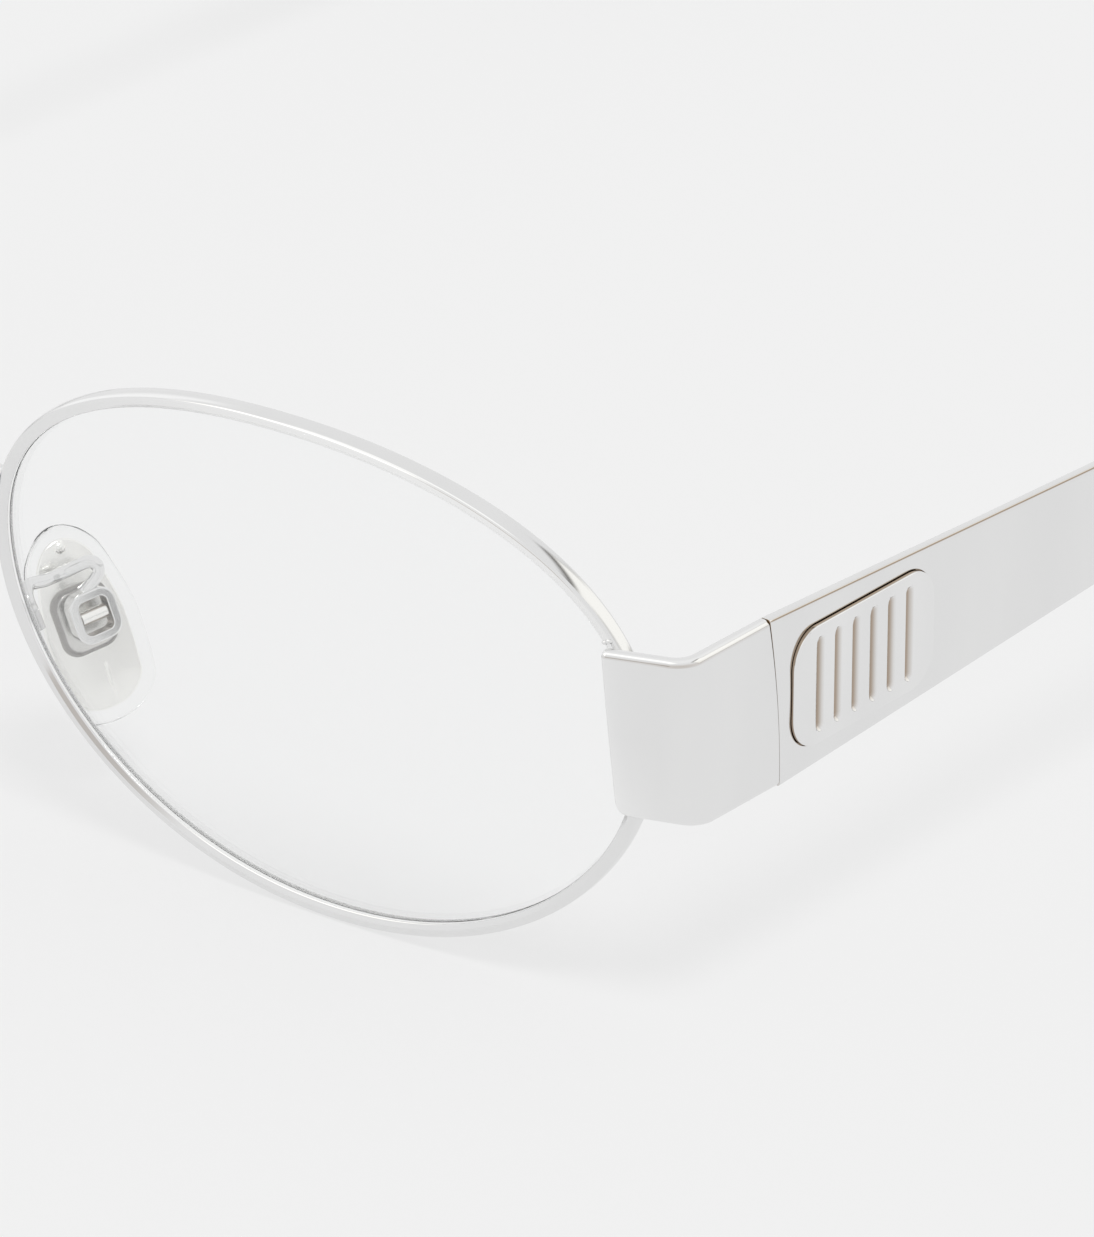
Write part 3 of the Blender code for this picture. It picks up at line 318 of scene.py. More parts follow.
def eyewire():
    """The wire's section of inset and depth, carried round the oval from split to split."""
    lip, middle, half = RIM_FACE, (LIP_SETBACK + RIM_DEPTH) / 2, GROOVE_WIDTH / 2
    floor = lip - GROOVE_DEPTH
    section = np.array([  # inset, depth and radius of each corner
        (0.11, 0, 0.32), (0.62 * lip, 0.20 * LIP_SETBACK, 0.25), (lip, LIP_SETBACK, 0.17),
        (lip, middle - half, 0.03), (floor, middle - half / 2, 0.05),
        (floor, middle + half / 2, 0.05), (lip, middle + half, 0.03),
        (lip, RIM_DEPTH, 0.14), (0.10, RIM_DEPTH, 0.26), (0, RIM_DEPTH / 2, 2.4),
    ])
    inset, depth = rounded(section[:, :2], section[:, 2]).T
    trial = np.linspace(-0.5, 0.9, 2801)
    start = float(np.interp(SPLIT_HEIGHT, oval(trial)[1], trial))
    gap = RIM_SPLIT / EYE_HEIGHT
    angle = np.linspace(start + gap, start + 2 * np.pi - gap, 421)[:, None]
    edge_x, edge_z = oval(angle)
    x, z = oval(angle, inset[None])
    spare = 0.02
    wall = (inset > lip - spare) & (depth > LIP_SETBACK + 0.05) & (depth < middle)
    groove = (inset > 0.3) & (inset < lip - spare) & (abs(depth - middle) < half + spare)
    bevel = (inset > 0.22) & (depth < LIP_SETBACK)
    # Painted light: the groove and the wall over the lens painted brighter against their shade, and
    # a painted highlight on the front face, over the upper part of the oval.
    painted_light_and_matt_edge = -GROOVE_PAINTED_LIGHT * (wall | groove)
    painted_light_and_matt_edge = painted_light_and_matt_edge - BEVEL_HIGHLIGHT * bevel * bell(angle, HIGHLIGHT_ANGLE, HIGHLIGHT_SPREAD)
    points = in_eye(x, base_curve(edge_x, edge_z) + depth[None], z)
    return *grid_shell(points, caps=True), painted_light_and_matt_edge.ravel()


pair("eyewire", eyewire(), plated_metal, "front", "rim")


# ---------------------------------------------------------------------------
# Lenses. Thin clear resin on a shallow base curve, with a bevel ground round the
# edge that sits in the eyewire's groove.
LENS_FRONT, LENS_BACK, LENS_BEVEL, LENS_CLEARANCE = 0.58, 1.50, 0.07, 0.03
GROUND_ROUGHNESS = 0.6

lens_resin = finish_of(
    "clear_lens_resin", clean=0.0, smears=0.012, hairlines=0.006, depth=2e-8,
    Base_Color=(0.995, 0.998, 0.998, 1), Transmission_Weight=1.0, IOR=1.5,
    Specular_IOR_Level=0.12,
)
tree = lens_resin.node_tree
ground = add_node(tree, "Attribute", attribute_name="painted_light_and_matt_edge").outputs["Fac"]
matt = maths(tree, "ADD", ground, tree.nodes["marks"].outputs["Roughness"])
tree.links.new(matt, tree.nodes["Principled BSDF"].inputs["Roughness"])


def full_turn(count):
    """Angles spread evenly round a full turn."""
    return np.linspace(0, 2 * np.pi, count, endpoint=False)


def lens_shell():
    """Two curved faces and a bevelled edge, as rings from the middle out and back.

    A ring at share s of the way out has x, z = s * edge and depth = base curve + sink * s^2,
    so that both faces meet the eyewire evenly all round. The edge is ground matt, which
    the point attribute that carries the painted light on the metal tells the material.
    """
    rings, arris = 26, 0.02
    angle = full_turn(400)[None]
    middle = (LIP_SETBACK + RIM_DEPTH) / 2
    inset = RIM_FACE + LENS_CLEARANCE
    share = np.linspace(0.002, 1, rings)
    bevel = middle + GROOVE_WIDTH / 4 * np.array([-1, 0, 1])
    depth = np.concatenate([
        np.full(rings, LENS_FRONT), [LENS_FRONT + arris], bevel, [LENS_BACK - arris],
        np.full(rings, LENS_BACK),
    ])[:, None]
    outwards = np.concatenate([share, np.ones(5), share[::-1]])[:, None]
    proud = np.pad([LENS_BEVEL], rings + 2)[:, None]
    x, z = oval(angle, inset - proud)
    sink = base_curve(*oval(angle)) - base_curve(*oval(angle, inset))
    x, z = x * outwards, z * outwards
    lens = grid_shell(in_eye(x, base_curve(x, z) + sink * outwards**2 + depth, z), caps=True)
    return *lens, np.repeat(np.pad(np.full(5, GROUND_ROUGHNESS), rings), x.shape[1])


pair("clear_lens", lens_shell(), lens_resin, "front", "lens")


# ---------------------------------------------------------------------------
# Bridge. A round wire that arches up and forward between the eyewires, brazed to
# each with a small fillet of silver solder.
BRIDGE_HEIGHT, BRIDGE_RISE, BRIDGE_FORWARD, BRIDGE_DIAMETER = 5.9, 2.2, 1.3, 1.9
BRIDGE_FLARE, FLARE_REACH = 0.28, 0.3
SEAT = 0.15


def spline(points, steps):
    """Catmull-Rom curve through points: 0.5 (2b + (c-a)t + (2a-5b+4c-d)t^2 + (3b-a-3c+d)t^3)."""
    points = np.asarray(points, float)
    padded = np.vstack([2 * points[0] - points[1], points, 2 * points[-1] - points[-2]])
    a, b, c, d = (padded[i : len(padded) - 3 + i, None] for i in range(4))
    t = (np.arange(steps) / steps)[None, :, None]
    curve = 0.5 * (2 * b + (c - a) * t + (2 * a - 5 * b + 4 * c - d) * t**2
                   + (3 * b - a - 3 * c + d) * t**3)
    return np.vstack([curve.reshape(-1, 3), points[-1:]])


def walked_along(path):
    """The distance of each of a path's points from its start, along the path."""
    return np.concatenate([[0], np.cumsum(np.linalg.norm(np.diff(path, axis=0), axis=1))])


def tube(path, radius, sides):
    """A round wire: circles across the path, turned as little as possible from each to the next."""
    tangent = unit(np.gradient(path, axis=0))
    side, sideways = np.cross(tangent[0], (0.3, 0.2, 1.0)), []
    for direction in tangent:
        side = unit(side - direction * (side @ direction))
        sideways.append(side)
    sideways = np.array(sideways)
    upward = np.cross(tangent, sideways)
    angle = full_turn(sides)[None, :, None]
    radius = np.broadcast_to(radius, len(path))[:, None, None]
    circle = np.cos(angle) * sideways[:, None] + np.sin(angle) * upward[:, None]
    return grid_shell(path[:, None] + radius * circle, caps=True)


def nose_side(level, inset, depth):
    """The point of the left eyewire's nose side at a level, in from its edge and back from
    its face."""
    angle = np.linspace(np.pi / 2, 3 * np.pi / 2, 2001)
    angle = np.interp(-level, -oval(angle)[1], angle)
    x, z = oval(angle, inset)
    return in_eye(x, base_curve(x, z) + depth, z)


def bridge_shell():
    """The arch as a spline, its radius flared by flare exp(-distance / reach) at both ends."""
    end = nose_side(BRIDGE_HEIGHT, 0, RIM_DEPTH / 2)
    end[0] -= SEAT + 0.4 * BRIDGE_DIAMETER * BRIDGE_HEIGHT / EYE_HEIGHT
    share = np.array([0.0, 0.12, 0.35, 0.65, 1.0])
    lift = np.sin(share * np.pi / 2)
    half = np.stack(
        [end[0] * (1 - share), end[1] - BRIDGE_FORWARD * lift, end[2] + BRIDGE_RISE * lift], -1
    )
    path = spline(np.vstack([half, half[-2::-1] * (-1, 1, 1)]), 16)
    walked = walked_along(path)
    near = np.minimum(walked, walked[-1] - walked)
    return tube(path, BRIDGE_DIAMETER / 2 + BRIDGE_FLARE * np.exp(-near / FLARE_REACH), 40)


bridge = solid("bridge_wire", bridge_shell(), plated_metal)
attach(bridge, "front")
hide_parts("bridge")


# ---------------------------------------------------------------------------
# End pieces. A wide strap of sheet metal, bent round from the front to the temple,
# brazed over the eyewire and polished with softly rounded edges.
STRAP_HEIGHT, STRAP_THICKNESS, STRAP_OVERLAP, STRAP_CENTRE = 12.6, 1.0, 1.65, 2.85
STRAP_SWEEP = math.radians(22.0)
STRAP_FRONT, STRAP_SIDE, STRAP_BEND, STRAP_DROP = 6.1, 8.85, 2.4, 0.30
EDGE_ROUND, FRONT_CROWN, SIDE_CROWN, INNER_ARRIS = 0.50, 0.10, 0.25, 0.08
TEMPLE_SPLAY, TEMPLE_SLOPE, SEAM_TILT = (math.radians(a) for a in (2.0, 0.6, 5.5))
SEAM_GAP = 0.15
STRAP_CORNER, FRONT_ARRIS, SEAM_ARRIS, SEAM_SHOWN = 0.95, 0.38, 0.03, 0.035
# Light painted on the strap: a dark reflection and a highlight on its top edge, a highlight along
# its front end, brighter paint on its lower front, and painted shade on its seam end.
EDGE_DARK_REFLECTION, BEND_DARK_REFLECTION, BEND_REFLECTION_REACH, EDGE_HIGHLIGHT = 0.15, 0.27, 1.6, 0.6
DARK_REFLECTION_ANGLE, EDGE_HIGHLIGHT_ANGLE, ANGLE_SPREAD = 20, 60, 15
FRONT_EDGE_HIGHLIGHT, FRONT_HIGHLIGHT_REACH, FOOT_PAINTED_LIGHT, FOOT_LIGHT_REACH = 0.38, 1.1, 0.27, 3.2
SEAM_PAINTED_SHADE, SEAM_TOP_SHADE = 0.22, 0.65
# Where the strap's edges cross the eyewire: level, inset, depth and size of each bead.
SOLDER_BEADS = ((9.10, 0.28, 0.14, 0.26), (9.12, 0.66, 0.22, 0.20), (-3.45, 0.42, 0.16, 0.26))


def sheet_section(height, thickness, crown, edge_round, inset, lift, face_points):
    """Outward and upward places round the section of a crowned sheet, one row per station.

    The outer face is -crown * w^2 with w from -1 to 1 between its rounded edges. The
    inner face is flat, with a fine arris at its edges. An inset draws all of it in, and
    a lift raises its foot.
    """
    height, thickness, crown, inset, lift = (
        np.atleast_1d(v)[:, None] for v in (height, thickness, crown, inset, lift)
    )
    top, foot = height / 2 - inset, -height / 2 + inset + lift
    round_ = np.maximum(edge_round - inset, 0.01)
    w = np.linspace(-1, 1, face_points)[None]
    middle, half = (top + foot) / 2, (top - foot) / 2 - round_
    face = np.stack([-crown * w**2 - inset, middle + half * w], -1)
    angle = np.linspace(0, np.pi / 2, 9)[None, 1:]
    out, rise = -crown - inset - round_ * (1 - np.cos(angle)), round_ * (1 - np.sin(angle))
    upper, lower = np.stack([out, top - rise], -1), np.stack([out, foot + rise], -1)
    arris, turn = np.minimum(INNER_ARRIS, thickness / 4), np.linspace(0, np.pi / 2, 4)[None]
    near, far = arris * (1 - np.sin(turn)), arris * (1 - np.cos(turn))
    back = -thickness + inset
    inner_top = np.stack([back + near, top - far], -1)
    inner_foot = np.stack([back + far, foot + near], -1)
    rows = max(part.shape[0] for part in (face, upper, inner_top))
    parts = (face, upper, inner_top, inner_foot, lower[:, ::-1])
    return np.concatenate([np.broadcast_to(p, (rows, *p.shape[1:])) for p in parts], 1)


def across_path(place, outward, up, section):
    """A section's outward and upward places, set at each station of a path."""
    outward = np.broadcast_to(outward, place.shape)
    return place[:, None] + section[..., :1] * outward[:, None] + section[..., 1:] * up[:, None]


def strap_path(walked):
    """Place, outward direction and share along the strap: straight, round the bend, straight."""
    turn = np.pi / 2 + TEMPLE_SPLAY - STRAP_SWEEP
    shorter = STRAP_BEND * math.tan(turn / 2)
    first, bend = STRAP_FRONT - shorter, STRAP_BEND * turn
    total = first + bend + STRAP_SIDE - shorter
    slope = STRAP_SWEEP - FACE_WRAP
    start = in_eye(
        EYE_WIDTH / 2 - STRAP_OVERLAP,
        base_curve(EYE_WIDTH / 2, 0) - SEAT - STRAP_THICKNESS / math.cos(slope)
        - STRAP_OVERLAP * math.tan(slope),
        STRAP_CENTRE,
    )
    walked = np.asarray(walked, float)
    heading = STRAP_SWEEP + np.clip((walked - first) / STRAP_BEND, 0, turn)
    straight = np.minimum(walked, first)
    after = np.maximum(walked - first - bend, 0)
    x = straight * math.cos(STRAP_SWEEP) + after * np.cos(heading)
    y = straight * math.sin(STRAP_SWEEP) + after * np.sin(heading)
    x = x + STRAP_BEND * (np.sin(heading) - math.sin(STRAP_SWEEP))
    y = y - STRAP_BEND * (np.cos(heading) - math.cos(STRAP_SWEEP))
    share = walked / total
    place = start + np.stack([x, y, -STRAP_DROP * share], -1)
    outward = np.stack([np.sin(heading), -np.cos(heading), np.zeros_like(heading)], -1)
    return place, outward, share, total


def drop(centre, axes, turn):
    """An ellipsoid: the unit sphere (cos u cos v, cos u sin v, sin u) times its axes, turned."""
    u, v = np.linspace(-np.pi / 2, np.pi / 2, 15)[:, None], full_turn(28)
    sphere = np.broadcast_arrays(np.cos(u) * np.cos(v), np.cos(u) * np.sin(v), np.sin(u))
    return grid_shell(np.stack(sphere, -1) * axes @ turn.T + centre)


def bead(level, inset, depth, size):
    """A flattened drop of solder at a level of the eyewire's temple side."""
    angle = np.linspace(-np.pi / 2, np.pi / 2, 2001)
    x, z = oval(np.interp(level, oval(angle)[1], angle), inset)
    place = in_eye(x, base_curve(x, z) + depth, z)
    return drop(place, size * np.array([1.1, 0.7, 0.75]), EYE_TURN)


def drawn_in(radius, distance):
    """How far a rounded edge draws in at a distance from its end: r - sqrt(r^2 - (r - d)^2)."""
    return radius - np.sqrt(radius**2 - np.clip(radius - distance, 0, radius) ** 2)


def end_piece():
    """The sheet section lofted along the strap, its tilt and crown changing with the share."""
    total = strap_path([0.0])[3] + (SEAM_GAP - SEAM_SHOWN) / 2
    quarter = 1 - np.cos(np.linspace(0, np.pi / 2, 7))
    corner = np.linspace(FRONT_ARRIS, STRAP_CORNER, 9)[1:]
    walked = np.concatenate([
        FRONT_ARRIS * quarter, corner, np.linspace(STRAP_CORNER, total - 1.0, 90)[1:],
        total - np.append(2 * SEAM_ARRIS, SEAM_ARRIS * quarter[::-1]),
    ])
    near = total - walked
    inset = drawn_in(FRONT_ARRIS, walked) + drawn_in(SEAM_ARRIS, near)
    place, outward, share, _ = strap_path(walked)
    tilt = PANTOSCOPIC_TILT + (SEAM_TILT - PANTOSCOPIC_TILT) * share
    up = np.stack([np.zeros_like(tilt), -np.sin(tilt), np.cos(tilt)], -1)
    crown = FRONT_CROWN + (SIDE_CROWN - FRONT_CROWN) * share
    height, lift = np.full_like(walked, STRAP_HEIGHT), drawn_in(STRAP_CORNER, walked)
    section = sheet_section(height, STRAP_THICKNESS, crown, EDGE_ROUND, inset, lift, 21)
    strap = grid_shell(across_path(place, outward, up, section), caps=True)

    face, edge, behind = slice(21), slice(21, 29), slice(29, None)
    turn = np.linspace(0, 90, 9)[1:]
    # Painted reflection: a dark line along the top edge's rounding, darkest near the bend; and a
    # painted highlight higher on that rounding.
    along = EDGE_DARK_REFLECTION + BEND_DARK_REFLECTION * bell(walked, STRAP_FRONT - 0.6, BEND_REFLECTION_REACH)
    # Painted highlight along the front end, fading back from it, and painted light on the lower
    # half of the face and on the inner side near the front.
    painted_highlight = FRONT_EDGE_HIGHLIGHT * np.exp(-walked / FRONT_HIGHLIGHT_REACH)[:, None]
    low = FOOT_PAINTED_LIGHT * bell(walked, 0, FOOT_LIGHT_REACH)[:, None]
    painted_light_and_matt_edge = np.zeros(section.shape[:2])
    painted_light_and_matt_edge[:, edge] = along[:, None] * bell(turn, DARK_REFLECTION_ANGLE, ANGLE_SPREAD)
    painted_light_and_matt_edge[:, edge] -= EDGE_HIGHLIGHT * bell(turn, EDGE_HIGHLIGHT_ANGLE, ANGLE_SPREAD)
    painted_light_and_matt_edge[:, face] = -painted_highlight - low * np.clip(-np.linspace(-1, 1, 21), 0, 1)
    painted_light_and_matt_edge[:, behind] = -painted_highlight - low
    # Painted shade on the seam end, darker towards its top.
    level = np.clip(section[-1, :, 1] / STRAP_HEIGHT + 0.5, 0, 1)
    painted_light_and_matt_edge[near < 0.8 * SEAM_ARRIS] = SEAM_PAINTED_SHADE + SEAM_TOP_SHADE * level**4
    return joined((*strap, painted_light_and_matt_edge.ravel()), *(bead(*b) for b in SOLDER_BEADS))


pair("bent_strap", end_piece(), plated_metal, "front", "end_piece")


# ---------------------------------------------------------------------------
# Closing blocks. Two small blocks are brazed to the eyewire above and below its
# split, and a screw from below pulls them together on the lens.
BLOCK_WIDTH, BLOCK_DEPTH, BLOCK_HEIGHT, BLOCK_SETBACK = 2.0, 2.0, 2.5, 0.9
BLOCK_ROUND, PLAY = 0.30, 0.12
CLAMP_SHANK, CLAMP_HEAD, CLAMP_HEAD_HEIGHT = 0.9, 1.5, 0.5
SCREW_SLOT_WIDTH, SCREW_SLOT_DEPTH, SCREW_EASE = 0.28, 0.22, 0.06

screw_metal = finish_of(
    "turned_screw_steel", clean=0.16, smears=0.12, hairlines=0.25, depth=8e-7,
    Base_Color=(0.66, 0.655, 0.645, 1), Metallic=1.0,
)


def put(points, turn, origin):
    """Points given across, back and up in a turned frame, in the row frame."""
    return np.asarray(points) @ turn.T + origin


def moved(shell, turn, origin):
    return put(shell[0], turn, origin), *shell[1:]


def soft_block(size, radius, centre=(0, 0, 0)):
    """A block with rounded edges: each point is its corner of the inner block plus r times
    the direction of a sphere, whose grid is doubled where it crosses the flat faces."""
    fine = 5
    band = np.linspace(0, np.pi / 2, fine)
    turn = np.concatenate([band + k * np.pi / 2 for k in range(4)])
    rise = np.concatenate([band - np.pi / 2, band])[:, None]
    corner_x, corner_y = np.repeat([1, -1, -1, 1], fine), np.repeat([1, 1, -1, -1], fine)
    corner_z = np.repeat([-1, 1], fine)[:, None]
    half = np.asarray(size) / 2 - radius
    x = corner_x * half[0] + radius * np.cos(turn) * np.cos(rise)
    y = corner_y * half[1] + radius * np.sin(turn) * np.cos(rise)
    z = np.broadcast_to(corner_z * half[2] + radius * np.sin(rise), x.shape)
    return grid_shell(np.stack([x, y, z], -1) + centre, caps=True)


def swung(radius, height, sides):
    """A profile's radius and height swung round the z axis, one circle for each of its points."""
    angle = full_turn(sides)
    return np.stack(
        np.broadcast_arrays(radius * np.cos(angle), radius * np.sin(angle), height), -1
    )


def slotted_screw(shank, length, head, head_height):
    """A cheese-head screw along z, its head above z = 0, as a turned profile.

    The slot is left between two cheeks: the head's top stops at the slot's floor, and
    each cheek is the part of the circle where |y| is over half the slot's width.
    """
    edge, low = SCREW_EASE, head_height - SCREW_SLOT_DEPTH
    profile = np.array(
        [(0.001, -length), (shank / 2 - edge, -length), (shank / 2, -length + edge),
         (shank / 2, 0), (head / 2 - edge, 0), (head / 2, edge), (head / 2, low)]
    )
    body = grid_shell(swung(profile[:, :1], profile[:, 1:], 48), caps=True)
    wall, half = head / 2, SCREW_SLOT_WIDTH / 2
    y = np.linspace(half, wall * 0.999, 14)
    x = np.sqrt(wall**2 - y**2)
    arc = np.concatenate([np.stack([x, y], -1), np.stack([-x, y], -1)[::-1]])
    cheeks = []
    for side in (1, -1):
        outline = arc * (1, side)
        shrunk = outline * (1 - edge / wall) + (0, side * half * edge / wall)
        rings = [
            np.column_stack([ring, np.full(len(ring), level)]) for ring, level in
            ((outline, low), (outline, head_height - edge), (shrunk, head_height))
        ]
        cheeks.append(grid_shell(np.array(rings), caps=True))
    return joined(body, *cheeks)


def block_place(rise):
    """The point of the blocks' joint in the eye's plane, raised by a height."""
    return in_eye(
        EYE_WIDTH / 2 + SEAT + BLOCK_WIDTH / 2,
        base_curve(EYE_WIDTH / 2, 0) + BLOCK_SETBACK + BLOCK_DEPTH / 2,
        SPLIT_HEIGHT + rise,
    )


block_rise = (RIM_SPLIT + BLOCK_HEIGHT) / 2
block_shape = soft_block((BLOCK_WIDTH, BLOCK_DEPTH, BLOCK_HEIGHT), BLOCK_ROUND)
for block_name, rise in (("upper", block_rise), ("lower", -block_rise)):
    pair(
        f"{block_name}_block", moved(block_shape, EYE_TURN, block_place(rise)), plated_metal,
        "front", f"closing_block_{block_name}",
    )
clamp_length = 2 * BLOCK_HEIGHT + RIM_SPLIT
clamp_screw = slotted_screw(CLAMP_SHANK, clamp_length, CLAMP_HEAD, CLAMP_HEAD_HEIGHT)
screw_place = block_place(-RIM_SPLIT / 2 - BLOCK_HEIGHT - PLAY)
pair(
    "clamp_screw", moved(clamp_screw, EYE_TURN @ turn_about(0, np.pi), screw_place),
    screw_metal, "front", "closing_screw",
)


# ---------------------------------------------------------------------------
# Hinges. A leaf with two barrels is brazed inside each end piece and one with a
# single barrel inside each temple, and a screw from above is their pin.
BARREL, BORE, OUTER_BARREL, MIDDLE_BARREL, BARREL_EASE = 2.5, 1.35, 1.5, 2.0, 0.10
LEAF_LENGTH, LEAF_THICKNESS, LEAF_INSET, LEAF_SHORTER = 3.3, 0.70, 0.08, 0.16
LEAF_ROUND, NECK_ROUND, NECK_SHORTER, NECK_OVERLAP = 0.14, 0.06, 0.04, 0.4
PIN_SHANK, PIN_HEAD, PIN_HEAD_HEIGHT = 1.10, 1.9, 0.55

hinge_joint = next(j for j in frame["joints"] if j["name"] == "left_temple_fold")
HINGE_PLACE = np.array(hinge_joint["pos_m"]) / MM
HINGE_UP = unit(np.array(hinge_joint["axis"]))
TEMPLE_OUT = np.array([math.cos(TEMPLE_SPLAY), math.sin(TEMPLE_SPLAY), 0.0])
TEMPLE_AHEAD = np.array([-math.sin(TEMPLE_SPLAY), math.cos(TEMPLE_SPLAY), 0.0])
HINGE_TURN = np.stack([TEMPLE_OUT, np.cross(HINGE_UP, TEMPLE_OUT), HINGE_UP], -1)


def barrel(height, centre):
    """A bored barrel with eased ends: its profile runs out, up the wall, in and down the bore."""
    r, b, h, e = BARREL / 2, BORE / 2, height / 2, BARREL_EASE
    profile = rounded([(r, -h), (r, h), (b, h), (b, -h)], (e, e, e / 2, e / 2), 4)
    return grid_shell(swung(profile[:, :1], profile[:, 1:] + centre, 56).swapaxes(0, 1), loop=True)


def plate(direction, start, length, height, radius, centre=0):
    """A flat plate beside the pin, running ahead or back from a start, at a height's centre."""
    out = BARREL / 2 - LEAF_INSET - LEAF_THICKNESS / 2
    place = (out, direction * (start + length / 2), centre)
    return soft_block((LEAF_THICKNESS, length, height), radius, place)


def hinge_leaf(direction, barrel_height, centres):
    """The leaf beside the barrels, each barrel, and the neck that joins it to the leaf."""
    start, neck_height = BARREL / 2 + PLAY, barrel_height - NECK_SHORTER
    full_height = 2 * OUTER_BARREL + MIDDLE_BARREL + 2 * PLAY
    necks = (
        plate(direction, 0, start + NECK_OVERLAP, neck_height, NECK_ROUND, c) for c in centres
    )
    return joined(
        plate(direction, start, LEAF_LENGTH, full_height - LEAF_SHORTER, LEAF_ROUND),
        *(barrel(barrel_height, c) for c in centres), *necks,
    )


outer_centre = (MIDDLE_BARREL + OUTER_BARREL) / 2 + PLAY
pin_top = MIDDLE_BARREL / 2 + OUTER_BARREL + 2 * PLAY
front_leaf = hinge_leaf(-1, OUTER_BARREL, (outer_centre, -outer_centre))
rear_leaf = hinge_leaf(1, MIDDLE_BARREL, (0,))
pair(
    "front_leaf", moved(front_leaf, HINGE_TURN, HINGE_PLACE), plated_metal,
    "front", "hinge_front_leaf",
)
pair(
    "rear_leaf", moved(rear_leaf, HINGE_TURN, HINGE_PLACE), plated_metal,
    "{}_temple", "hinge_rear_leaf",
)
hinge_pin = slotted_screw(PIN_SHANK, 2 * pin_top, PIN_HEAD, PIN_HEAD_HEIGHT)
pair(
    "hinge_pin", moved(hinge_pin, HINGE_TURN, HINGE_PLACE + HINGE_UP * pin_top),
    screw_metal, "front", "hinge_screw",
)


# ---------------------------------------------------------------------------
# Temples. A blade as tall as the end piece tapers back to a narrow shoulder, and
# its flat core runs on inside the ear tip. A recess in its side takes the inlay.
TEMPLE_LENGTH, BLADE_END, TAPER_END, TAPER_EASE = 145.0, 93.0, 75.0, 1.0
BLADE_END_HEIGHT, BLADE_END_THICKNESS, BLADE_THINNING, BLADE_ARRIS = 5.0, 0.75, 22.0, 0.24
CORE_HEIGHT, CORE_THICKNESS, CORE_SETBACK = 2.8, 0.70, 7.0
EAR_BEND, EAR_RADIUS, TIP_INWARD = math.radians(31.0), 24.0, 2.5
TIP_END_HEIGHT, TILT_EASE = 6.6, 25.0
BLADE_START = (SEAM_GAP + SEAM_SHOWN) / 2
INLAY_LENGTH, INLAY_HEIGHT, INLAY_CORNER, INLAY_START = 15.6, 8.6, 2.6, 1.6
INLAY_RECESS, INLAY_PROUD, INLAY_CLEARANCE, RECESS_EASE = 0.38, 0.22, 0.06, 0.05
# Painted shade in the recess, in the inlay's flutes and at the inlay's foot, and on the blade's
# seam end, darker at that end's top.
RECESS_PAINTED_SHADE, BLADE_SEAM_SHADE, BLADE_SEAM_TOP_SHADE = 0.8, 0.25, 0.75
# Painted reflection: a dark line along the blade's top edge, and where and how widely it lies round
# the rounding.
ARRIS_DARK_REFLECTION, ARRIS_REFLECTION_ANGLE, ARRIS_REFLECTION_SPREAD = 0.97, 26, 14

SEAM = strap_path([strap_path([0.0])[3]])[0][0]


def ear_bend_start():
    """Length at which the ear bend begins, so that the tip's end reaches down to the table."""
    slope = TEMPLE_SLOPE + EAR_BEND
    drop = SEAM[2] - TIP_END_HEIGHT / 2 - EAR_RADIUS * (math.cos(TEMPLE_SLOPE) - math.cos(slope))
    straight = TEMPLE_LENGTH - EAR_RADIUS * EAR_BEND - TIP_END_HEIGHT / 2
    return (straight * math.sin(slope) - drop) / (math.sin(slope) - math.sin(TEMPLE_SLOPE))


def temple_line(length):
    """Outer face's middle line and upward direction at each length from the seam.

    The slope grows by length / radius through the ear bend, its sine and cosine are
    summed for the drop and the run, and the tip draws in as the square of its share.
    """
    fine = np.linspace(0, TEMPLE_LENGTH, 14501)
    bend = np.clip((fine - ear_bend_start()) / EAR_RADIUS, 0, EAR_BEND)
    passed = np.clip((fine - BLADE_END) / (TEMPLE_LENGTH - BLADE_END), 0, 1)
    slope, step = TEMPLE_SLOPE + bend, fine[1] - fine[0]
    along = np.concatenate([[0], np.cumsum(np.cos(slope)[1:] * step)])
    down = np.concatenate([[0], np.cumsum(np.sin(slope)[1:] * step)])
    a, d, i, s = (
        np.interp(length, fine, row)[..., None]
        for row in (along, down, TIP_INWARD * passed**2, slope)
    )
    settle = np.clip(length / TILT_EASE, 0, 1)[..., None]
    lean = SEAM_TILT * (1 - settle) - s * settle
    face = SEAM - TEMPLE_OUT * i + TEMPLE_AHEAD * a - (0, 0, 1) * d
    return face, TEMPLE_AHEAD * -np.sin(lean) + (0, 0, 1) * np.cos(lean)


def blade_height(length):
    """An even taper that eases into the narrow rear: end + (left + sqrt(left^2 + ease^2)) / 2."""
    left = (STRAP_HEIGHT - BLADE_END_HEIGHT) * (1 - length / TAPER_END)
    return BLADE_END_HEIGHT + (left + np.hypot(left, TAPER_EASE)) / 2


def blade_crown(length):
    return SIDE_CROWN * (1 - 0.7 * np.minimum(length / TAPER_END, 1.0))


def on_face(length, w, deep=0.0):
    """A point of the crowned outer face: w runs from -1 at its foot to 1 at its top."""
    face, up = temple_line(length)
    half = blade_height(length) / 2 - BLADE_ARRIS
    out = -blade_crown(length) * w**2 - deep
    return face + TEMPLE_OUT * out[..., None] + up * (half * w)[..., None]


FACE_POINTS = 33
INLAY_MIDDLE = INLAY_START + INLAY_LENGTH / 2
ZONE_START = BLADE_START + SEAM_ARRIS
ZONE_END = 2 * INLAY_MIDDLE - ZONE_START
ZONE = np.linspace(ZONE_START, ZONE_END, 61)


